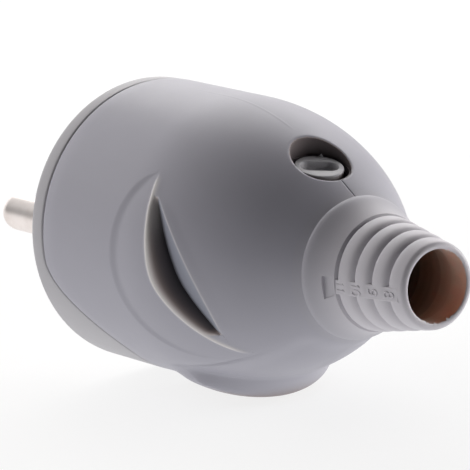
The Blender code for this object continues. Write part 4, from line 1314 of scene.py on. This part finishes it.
dressed(lock_screw_mesh(), "lock_screw_fine", "lock_screw", SCREW_GREY, "lock_grey",
        "lock_screw", crease=50.0)

# %% [markdown]
# ## The bush in the boss
# The lock screw turns in a brass bush pressed into the boss. Its outside is knurled so
# that it can't turn in the plastic, and its bore carries the mating thread.

# %% Bush
def bush_mesh(sides=96):
    inner, outer = SHANK_R + GAP, SHANK_R + GAP + BUSH_WALL
    corners = [(outer, LEDGE_TOP), (outer, LEDGE_BASE), (inner, LEDGE_BASE), (inner, LEDGE_TOP)]
    middle = ((inner + outer) / 2, LEDGE_TOP)
    path = rounded([middle, *corners, middle], 0.15)[:-1]
    thread = (LEDGE_BASE, LEDGE_TOP, 1.0, 0.14)
    rings = []
    for reach, height in with_rows(path, thread):
        ring = []
        for side in range(sides):
            turn = 2 * math.pi * side / sides
            at = reach
            if reach > outer - 0.1:
                at -= 0.09 * (side % 4 < 2)
            elif reach < inner + 0.1:
                at -= groove(height, turn, thread)
            on_bush = Vector((at * math.cos(turn), at * math.sin(turn), height))
            ring.append(SCREW_PLACE @ on_bush)
        rings.append(ring)
    return skin("bush", rings, tube=True)


dressed(bush_mesh(), "lock_bush_knurled", "casing", BRASS, "terminal_brass", "lock_bush")

# %% [markdown]
# ## Saddle and clip
# The saddle is the block that the screw presses on the cord. Ribs across its arch bite
# into the cord's jacket, and a spring clip in the screw's neck makes it follow the screw
# both ways. The clip is open on one side, as it has to be pushed on.

# %% Saddle
SADDLE_HALF, SADDLE_LEN, SADDLE_DEEP, CORD_R, SADDLE_APEX = 5.3, 6.8, 4.2, 5.4, 2.9
CLIP_R = 2.6
saddle = softened((-SADDLE_LEN / 2, -SADDLE_HALF, SADDLE_TOP - SADDLE_DEEP),
                  (SADDLE_LEN / 2, SADDLE_HALF, SADDLE_TOP), 0.25, SCREW_PLACE)
ribs = [(0.0, -8.0)]
for step in range(33):
    ribs.append((CORD_R - (0.25 if step % 4 == 2 else 0.0), -8.0 + 0.5 * step))
ribs.append((0.0, 8.0))
arch_tool = turned("arch", ribs, place_along((LOCK_X, 0, SADDLE_APEX - CORD_R), (1, 0, 0)), 0.1)
saddle = cut(saddle, arch_tool,
             plain_rod(CLIP_R + GAP, (0, 0, NECK_BASE), (0, 0, SADDLE_TOP + 1), SCREW_PLACE),
             plain_rod(SHANK_R + GAP, (0, 0, TIP_BASE - GAP), (0, 0, NECK_BASE + 0.5),
                       SCREW_PLACE))
dressed(saddle, "saddle_ribbed", "saddle", NYLON, "carrier_white", "clamp_saddle")

# %% [markdown]
# ## The saddle's clip
# The screw's neck begins at the saddle's top. A flat open ring lies round that neck, in a
# pocket of the saddle, so that the saddle comes up with the screw when it is undone.

# %% Clip
clip = turned("clip", [(CLIP_R, CLIP_TOP), (CLIP_R, CLIP_BASE), (NECK_R + GAP, CLIP_BASE),
                       (NECK_R + GAP, CLIP_TOP)], SCREW_PLACE, 0.08, tube=True)
clip = cut(clip, softened((0, -1.0, CLIP_BASE - 1), (CLIP_R + 1, 1.0, CLIP_TOP + 1), 0.0,
                          SCREW_PLACE))
dressed(clip, "clip_open", "saddle", ZINC, "screw_steel", "saddle_clip")

# %% [markdown]
# ## The pins
# A pin is turned from one bar: a rounded tip, a collar that the carrier clamps against
# the insert's plate, and a stud that enters the terminal block. The tip's radius is large,
# so that it finds its hole.

# %% Pins
TERM_X = PLATE_T + GAP + 3.0 + GAP
TERM_LEN, TERM_HALF, STUD_R, WIRE_R = 9.2, 3.1, 1.9, 1.7
TERM_BACK = TERM_X + TERM_LEN
STUD_END = TERM_X + 0.4 * TERM_LEN
PIN_LEN = 19.0


def pin_mesh(y):
    tip = [(PIN_R * math.sin(math.radians(turn)),
            PIN_LEN - PIN_R + PIN_R * math.cos(math.radians(turn))) for turn in range(0, 91, 6)]
    body = rounded([tip[-1], (PIN_R, -PIN_SEAT - GAP), (COLLAR_PIN_R, -PIN_SEAT - GAP),
                    (COLLAR_PIN_R, -PLATE_T), (STUD_R, -PLATE_T), (STUD_R, -STUD_END),
                    (0.0, -STUD_END)], 0.15)
    place = place_along((0, y, 0), (-1, 0, 0))
    rings = []
    for reach, height in tip + [tuple(p) for p in body[1:]]:
        ring = [place @ Vector((reach * math.cos(2 * math.pi * side / 72),
                                reach * math.sin(2 * math.pi * side / 72), height))
                for side in range(72)]
        rings.append(ring if reach > 1e-6 else [place @ Vector((0, 0, height))])
    return skin("pin", rings)


for word, side in (("line", 1), ("neutral", -1)):
    dressed(pin_mesh(side * PIN_Y), word + "_pin_plated", "insert", NICKEL, "pin_nickel",
            word + "_pin")

# %% [markdown]
# ## Terminal blocks
# Each terminal is a short length of square brass bar with a bore for the stud, a bore for
# the wire and a tapped hole for the screw. The bores have small chamfers, which the drill
# leaves when it cleans off the burr.

# %% Brass blocks
SCREW_R, TERM_HEAD_R, TERM_HEAD_T, TERM_OPEN = 1.45, 2.3, 1.5, 1.4
TERM_SCREW_X = TERM_X + 0.72 * TERM_LEN


def pole_block(y):
    block = softened((TERM_X, y - TERM_HALF, -TERM_HALF), (TERM_BACK, y + TERM_HALF, TERM_HALF),
                     0.3)
    return cut(block, plain_rod(STUD_R + GAP, (TERM_X - 1, y, 0), (STUD_END + GAP, y, 0)),
               plain_rod(WIRE_R, (STUD_END + GAP + 0.4, y, 0), (TERM_BACK + 1, y, 0)),
               cone_tool(WIRE_R - 0.1, WIRE_R + 0.6, (TERM_BACK - 0.35, y, 0),
                         (TERM_BACK + 0.2, y, 0)),
               plain_rod(SCREW_R + GAP, (TERM_SCREW_X, y, 0), (TERM_SCREW_X, y, TERM_HALF + 1)),
               cone_tool(SCREW_R, SCREW_R + 0.8, (TERM_SCREW_X, y, TERM_HALF - 0.5),
                         (TERM_SCREW_X, y, TERM_HALF + 0.3)))


for word, side in (("line", 1), ("neutral", -1)):
    dressed(pole_block(side * PIN_Y), word + "_terminal_block", "insert", BRASS,
            "terminal_brass", word + "_terminal")

# %% [markdown]
# ## Screws
# All the metal screws are cheese-heads with one slot. They differ in size and place only,
# so one function makes them: it turns the head and the threaded shank, then saws the slot.

# %% A cheese-head screw
def cheese_head(head_at, direction, head_r, head_t, shank_r, length, turn=0.0):
    place = place_along(head_at, direction) @ Matrix.Rotation(math.radians(turn), 4, "Z")
    outline = [(0, 0), (head_r, 0), (head_r, -head_t), (shank_r, -head_t), (shank_r, -length),
               (0, -length)]
    screw = turned("screw", outline, place, 0.22, 48,
                   thread=(-length + 0.3, -head_t - 0.15, 0.6, 0.18))
    return cut(screw, softened((-head_r - 1, -0.35, -0.55 * head_t), (head_r + 1, 0.35, 1),
                               0.0, place))


top = TERM_HALF + TERM_OPEN + TERM_HEAD_T
for word, side, turn in (("line", 1, 20.0), ("neutral", -1, 75.0)):
    screw = cheese_head((TERM_SCREW_X, side * PIN_Y, top), (0, 0, 1), TERM_HEAD_R, TERM_HEAD_T,
                        SCREW_R, top - WIRE_R - 0.2, turn)
    dressed(screw, word + "_screw_threaded", word + "_screw", ZINC, "screw_steel",
            word + "_terminal_screw")
    head_x = TERM_X + 1.4
    screw = cheese_head((head_x, side * SCREW_Y, SCREW_Z), (1, 0, 0), 2.2, 1.4, SMALL_R,
                        head_x - SMALL_END, turn + 40)
    dressed(screw, word + "_carrier_screw_threaded", "insert", ZINC, "screw_steel",
            "carrier_screw_" + word)

# %% [markdown]
# ## The earth socket
# The earth pin of the wall socket slides into this tube. The tube is slit twice, so that
# it can give, and two spring rings squeeze it. The rings are bent from wire, with a gap
# where their ends meet.

# %% Socket tube
EARTH_BORE_R, TUBE_END = 2.45, 17.6
TUBE_R = EARTH_BORE_R + 0.6
RING_X, RING_WIRE = (7.8, 9.4), 0.35
tube = turned("tube", [(TUBE_R, TUBE_END), (TUBE_R, PLATE_T), (SEAT_R, PLATE_T),
                       (SEAT_R, PIN_SEAT + GAP), (EARTH_BORE_R, PIN_SEAT + GAP),
                       (EARTH_BORE_R, TUBE_END)],
              place_along((0, 0, EARTH_Z), (1, 0, 0)), 0.15, tube=True)
slits = [softened((PLATE_T + GAP + 0.5, -TUBE_R - 1, -0.3), (RING_X[-1] + 2.0, TUBE_R + 1, 0.3),
                  0.0, Matrix.Translation((0, 0, EARTH_Z)) @ Matrix.Rotation(
                      math.radians(turn), 4, "X")) for turn in (45, 135)]
dressed(cut(tube, *slits), "earth_socket_tube", "insert", BRASS, "terminal_brass",
        "earth_socket")


# %% [markdown]
# ## The rings round the socket
# Two open rings of wire press the slit tube together, so that it grips the earth pin.
# Their ends are rounded off and leave a gap of sixteen degrees at the top.

# %% Spring rings
def spring_ring(x):
    """A wire ring with a gap at its top and rounded ends."""
    centre = TUBE_R + GAP + RING_WIRE
    rings = []
    for step in range(49):
        turn = math.radians(8.0 + 344.0 * step / 48)
        out = Vector((0, -math.sin(turn), math.cos(turn)))
        middle = Vector((x, 0, EARTH_Z)) + out * centre
        ring = []
        for side in range(12):
            lean = 2 * math.pi * side / 12
            ring.append(middle + RING_WIRE * (out * math.cos(lean)
                                              + Vector((1, 0, 0)) * math.sin(lean)))
        rings.append(ring)
    ends = []
    for ring, other in ((rings[0], rings[1]), (rings[-1], rings[-2])):
        middle, inner = (sum(points, Vector()) / 12 for points in (ring, other))
        ends.append([middle + (middle - inner).normalized() * 0.15])
    return skin("spring_ring", [ends[0], *rings, ends[1]])


for word, x in zip(("front", "rear"), RING_X):
    dressed(spring_ring(x), word + "_ring_wire", "insert", ZINC, "screw_steel",
            "earth_spring_" + word)

# %% [markdown]
# ## Strap and earth terminal
# A bent brass strap carries the earth from the tube down to its own terminal. Its bends
# are rounded, because sheet metal can't fold sharply, and its edges are a little soft.

# %% Earth strap
STRAP_T, STRAP_HALF, STRAP_START, STRAP_DROP = 0.8, 2.2, 10.8, 2.85
EARTH_TERM_X = TUBE_END + 0.8
EARTH_TERM_BACK = EARTH_TERM_X + 7.2
STRAP_TOP = EARTH_Z - TUBE_R - GAP
STRAP_BEND = EARTH_TERM_X - 2.9


def strap_mesh():
    line = rounded([(STRAP_START, STRAP_TOP - STRAP_T / 2), (STRAP_BEND + 0.2, STRAP_TOP - 0.4),
                    (STRAP_BEND + 2.4, STRAP_TOP - STRAP_DROP - 0.4),
                    (EARTH_TERM_BACK, STRAP_TOP - STRAP_DROP - 0.4)], 1.0, 6)
    half, edge = STRAP_T / 2, 0.12
    rings = []
    for index, point in enumerate(line):
        before, after = line[max(index - 1, 0)], line[min(index + 1, len(line) - 1)]
        along = (after - before).normalized()
        up = Vector((-along.y, along.x))
        ring = []
        for y, out in ((-STRAP_HALF, half - edge), (-STRAP_HALF + edge, half),
                       (STRAP_HALF - edge, half), (STRAP_HALF, half - edge),
                       (STRAP_HALF, edge - half), (STRAP_HALF - edge, -half),
                       (edge - STRAP_HALF, -half), (-STRAP_HALF, edge - half)):
            at = point + up * out
            ring.append(Vector((at.x, y, at.y)))
        rings.append(ring)
    ends = [[sum(ring, Vector()) / 8] for ring in (rings[0], rings[-1])]
    return skin("strap", [ends[0], *rings, ends[1]])


dressed(strap_mesh(), "earth_strap_bent", "insert", BRASS, "terminal_brass", "earth_strap")

# %% [markdown]
# ## The earth terminal
# The block sits on the strap's far end. The wire enters from behind, and a screw from
# above presses on it, as in the other two terminals.

# %% Earth terminal and its screw
EARTH_TERM_BASE = STRAP_TOP - STRAP_DROP + GAP
EARTH_TERM_TOP = EARTH_TERM_BASE + 5.4
EARTH_SCREW_X = EARTH_TERM_X + 3.6
wire_z = EARTH_TERM_BASE + 0.36 * 5.4
block = softened((EARTH_TERM_X, -TERM_HALF, EARTH_TERM_BASE),
                 (EARTH_TERM_BACK, TERM_HALF, EARTH_TERM_TOP), 0.3)
block = cut(block,
            plain_rod(WIRE_R, (EARTH_TERM_X + 1, 0, wire_z), (EARTH_TERM_BACK + 1, 0, wire_z)),
            plain_rod(SCREW_R + GAP, (EARTH_SCREW_X, 0, wire_z),
                      (EARTH_SCREW_X, 0, EARTH_TERM_TOP + 1)))
dressed(block, "earth_terminal_block", "insert", BRASS, "terminal_brass", "earth_terminal")
top = EARTH_TERM_TOP + TERM_OPEN + TERM_HEAD_T
dressed(cheese_head((EARTH_SCREW_X, 0, top), (0, 0, 1), TERM_HEAD_R, TERM_HEAD_T, SCREW_R,
                    top - wire_z - WIRE_R - 0.2, 50.0),
        "earth_screw_threaded", "earth_screw", ZINC, "screw_steel", "earth_terminal_screw")

# %% [markdown]
# ## The carrier
# The carrier keeps everything apart: walls between the terminals, shelves for the earth
# parts, a spine and a cradle for the cord. It is one moulding made of many plain walls,
# each with softened edges, joined and then drilled.

# %% Carrier walls
CARRIER_X, CARRIER_BACK, WEB = PLATE_T + GAP, PLATE_T + GAP + 3.0, 1.2
CARRIER_R = BODY_R - WALL - GAP - 1.4 - GAP
SHELF_TOP = STRAP_TOP - STRAP_T - GAP
LOW_SHELF_TOP = STRAP_TOP - STRAP_DROP - STRAP_T - GAP
SPINE_Z, SPINE_HALF = 9.4 - BODY_R, SCREW_Y - 2.7
CRADLE_START, CRADLE_END, CRADLE_R = LOCK_X - 6.9, LOCK_X + 2.1, 8.8

barrier, outer = PIN_Y - TERM_HALF - GAP, PIN_Y + TERM_HALF + GAP
floor, root, spine_top = -TERM_HALF - GAP, CARRIER_BACK - 0.2, SPINE_Z + 2.4
walls = []
for side in (1, -1):
    for x0, x1, y0, y1, z0, z1 in (
            (root, TERM_BACK + 0.5, barrier - WEB, barrier, spine_top - 0.5, SHELF_TOP),
            (root, TERM_BACK + 0.4, barrier - WEB / 2, outer + WEB / 2, floor - WEB, floor),
            (root, TERM_BACK + 0.3, outer, outer + WEB, floor - WEB - 0.15, floor + 4.5),
            (TERM_BACK - 0.5, EARTH_TERM_BACK + 0.4, barrier - WEB + 0.15, barrier - 0.15,
             LOW_SHELF_TOP - WEB + 0.15, SHELF_TOP - 0.15),
            (CRADLE_START + 0.2, CRADLE_END - 0.2, SADDLE_HALF + GAP, SADDLE_HALF + GAP + 1.4,
             -2.0, 6.0)):
        near, far = sorted((side * y0, side * y1))
        walls.append(softened((x0, near, z0), (x1, far, z1), 0.12))
walls += [softened((root, -barrier + 0.15, SHELF_TOP - WEB),
                   (STRAP_BEND - GAP, barrier - 0.15, SHELF_TOP - 0.075), 0.1),
          softened((TERM_BACK - 0.3, -barrier + 0.3, LOW_SHELF_TOP - WEB),
                   (EARTH_TERM_BACK + 0.2, barrier - 0.3, LOW_SHELF_TOP), 0.1),
          softened((root, -SPINE_HALF, SPINE_Z),
                   (CRADLE_START + 3, SPINE_HALF, spine_top), 0.2)]
print(len(walls), "walls")

# %% [markdown]
# ## Walls, cradle and plate in one
# The walls and the cord's cradle are joined to the round plate one after another, and
# then the holes are drilled through all of it: for the cord, the socket tube, the two
# studs and the two small screws.

# %% Carrier
trough = cut(turned("trough", [(0, 0), (CRADLE_R, 0), (CRADLE_R, CRADLE_END - CRADLE_START),
                               (0, CRADLE_END - CRADLE_START)],
                    place_along((CRADLE_START, 0, 0), (1, 0, 0)), 0.3),
             softened((CRADLE_START - 1, -20, 0), (CRADLE_END + 1, 20, 20), 0.0))
carrier = turned("carrier", [(0, 0), (CARRIER_R, 0), (CARRIER_R, 3.0), (0, 3.0)],
                 place_along((CARRIER_X, 0, 0), (1, 0, 0)), 0.3, 96)
for wall in [*walls, trough]:
    carrier = join(carrier, wall)
drills = [plain_rod(CORD_R, (CRADLE_START - 6, 0, 0), (CRADLE_END + 4, 0, 0)),
          plain_rod(TUBE_R + GAP, (0, 0, EARTH_Z), (CARRIER_BACK + 2, 0, EARTH_Z))]
for side in (1, -1):
    drills += [plain_rod(STUD_R + GAP, (0, side * PIN_Y, 0),
                         (CARRIER_BACK + 2, side * PIN_Y, 0)),
               plain_rod(SMALL_R + GAP, (0, side * SCREW_Y, SCREW_Z),
                         (CARRIER_BACK + 2, side * SCREW_Y, SCREW_Z))]
dressed(cut(carrier, *drills), "carrier_moulding", "insert", NYLON, "carrier_white",
        "contact_carrier")

# %% [markdown]
# ## The camera
# The plug is seen from behind and slightly above, over the sleeve, with a long lens that
# keeps the casing's roundness calm. The camera leans over by four degrees, as a small
# product laid by hand on a table never lies quite level.

# %% Camera
eye = Vector((0.42884, -0.28497, 0.11269))
back = Vector((0.80075, -0.55723, 0.21977)).normalized()
level = Vector((0, 0, 1)).cross(back).normalized()
upward = back.cross(level)
roll = math.radians(-3.94)
right = level * math.cos(roll) + upward * math.sin(roll)
up = back.cross(right)
lens = bpy.data.cameras.new("long_lens")
lens.lens, lens.sensor_width = 306.4, 36.0
camera = bpy.data.objects.new("camera", lens)
bpy.context.scene.collection.objects.link(camera)
camera.matrix_world = Matrix.Translation(eye) @ Matrix((right, up, back)).transposed().to_4x4()
bpy.context.scene.camera = camera
print("camera looks along", [round(v, 3) for v in -back])

# %% [markdown]
# ## Floor and backdrop
# A sheet of white paper runs under the plug and curves up behind it. Seen directly it
# stays white, with the plug's soft shadow in it. To have that without more light, the
# camera sees the paper partly by its own glow, and mirrors and glass see the same. The
# paper lies on a light table, which lights the plug from below and from behind. It gets
# dimmer towards the camera, so that the side of the dome which faces us stays dark.

# %% White sweep
def paper_material(away):
    finish = Finish("white_paper", 0.9)
    east, north, _ = finish.axes()
    table = (east * away.x + north * away.y).between(-0.20, -0.02) * 0.70 + 0.32
    fibre = finish.grain(900.0, 3.0)
    finish.feed("Base Color", finish.mix(fibre, (0.88, 0.88, 0.88), (0.91, 0.91, 0.91)))
    rays = finish.outputs("ShaderNodeLightPath")
    seen = rays["Is Camera Ray"] + rays["Is Glossy Ray"] + rays["Is Transmission Ray"]
    glow = finish.node("ShaderNodeEmission", {}, {"Color": (1, 1, 1, 1), "Strength": 1.0})
    unlit = finish.node("ShaderNodeEmission", {}, {"Color": (1, 1, 1, 1), "Strength": 0.0})
    plain = Socket(finish, finish.shader.outputs[0])
    looked_at = finish.node("ShaderNodeMixShader", {}, (seen * 0.8, plain, glow))
    lighting = finish.node("ShaderNodeMixShader", {}, (table, unlit, glow))
    finish.ends_in(finish.node("ShaderNodeMixShader", {},
                               (rays["Is Diffuse Ray"], looked_at, lighting)))
    return finish.material


lowest = cad_low[2] / MM
flat_from, flat_to, bend, wall_top, half_wide = -1.2, 1.8, 0.8, 5.2, 5.2
sweep_line = [(flat_from, 0.0), (flat_to, 0.0)]
for degrees in range(6, 91, 6):
    turn = math.radians(degrees)
    sweep_line.append((flat_to + bend * math.sin(turn), bend - bend * math.cos(turn)))
sweep_line.append((flat_to + bend, wall_top))
bm = bmesh.new()
away = Vector((-back.x, -back.y, 0)).normalized()
beside = Vector((-away.y, away.x, 0))
rows = []
for far, height in sweep_line:
    middle = away * far + Vector((0, 0, lowest * MM - 0.0002 + height))
    rows.append([bm.verts.new(middle + beside * wide) for wide in (-half_wide, half_wide)])
for row, following in zip(rows, rows[1:]):
    bm.faces.new((row[0], row[1], following[1], following[0]))
paper = bpy.data.meshes.new("paper")
bm.to_mesh(paper)
bm.free()
paper.shade_smooth()
paper.materials.append(paper_material(away))
sweep = bpy.data.objects.new("paper_sweep", paper)
bpy.context.scene.collection.objects.link(sweep)
print("paper lies at", round(lowest, 2), "mm")

# %% [markdown]
# ## Studio light
# The light comes from large soft boxes beside, above and behind the plug, and from the
# paper below. Almost none comes from the camera's side. That leaves the middle of the
# dome dark and its edges bright, which shows its roundness. How bright a lamp lights the
# plug is easier to think of than its power: a strength of one shows a colour, facing the
# lamp, as it is written. The two lamps on the left aren't mirrored in the pins: there a
# lamp and the white paper behind it would add up to a glare.

# %% Lamps and world
centre = Vector((0.022, 0.0, -0.002))


def soft_box(name, to_right, to_up, to_back, size, strength, distance=0.6):
    """A square lamp in a direction as seen by the camera, turned to the plug."""
    lamp = bpy.data.lights.new(name, "AREA")
    lamp.size, lamp.energy = size, strength * (math.pi * distance) ** 2
    lamp.color = (1.0, 0.98, 0.965)
    holder = bpy.data.objects.new(name, lamp)
    direction = right * to_right + up * to_up + back * to_back
    holder.location = centre + direction.normalized() * distance
    holder.rotation_euler = (centre - holder.location).to_track_quat("-Z", "Y").to_euler()
    bpy.context.scene.collection.objects.link(holder)
    return holder


for left_lamp in (soft_box("left_box", -0.95, 0.12, -0.25, 0.80, 0.78),
                  soft_box("left_top_box", -0.62, 0.66, -0.42, 0.80, 0.90)):
    left_lamp.visible_glossy = False
soft_box("top_box", 0.05, 0.78, -0.62, 0.50, 0.46)
soft_box("right_box", 0.80, 0.18, -0.58, 0.45, 0.30)
soft_box("right_low_box", 0.93, 0.10, -0.10, 0.50, 1.35)
soft_box("back_low_box", -0.30, 0.08, -0.90, 0.50, 0.15)

world = bpy.data.worlds.new("studio")
world.use_nodes = True
bpy.context.scene.world = world
sky = Graph(world.node_tree)
dim = sky.tree.nodes["Background"]
dim.inputs["Color"].default_value = (0.95, 0.97, 1.0, 1.0)
dim.inputs["Strength"].default_value = 0.02
white = sky.node("ShaderNodeBackground", {}, {"Strength": 1.0})
rays = sky.outputs("ShaderNodeLightPath")
sky.ends_in(sky.node("ShaderNodeMixShader", {},
                     (rays["Is Camera Ray"], Socket(sky, dim.outputs[0]), white)))
bpy.context.scene.view_settings.view_transform = "Standard"
print(len(bpy.data.lights), "lamps")
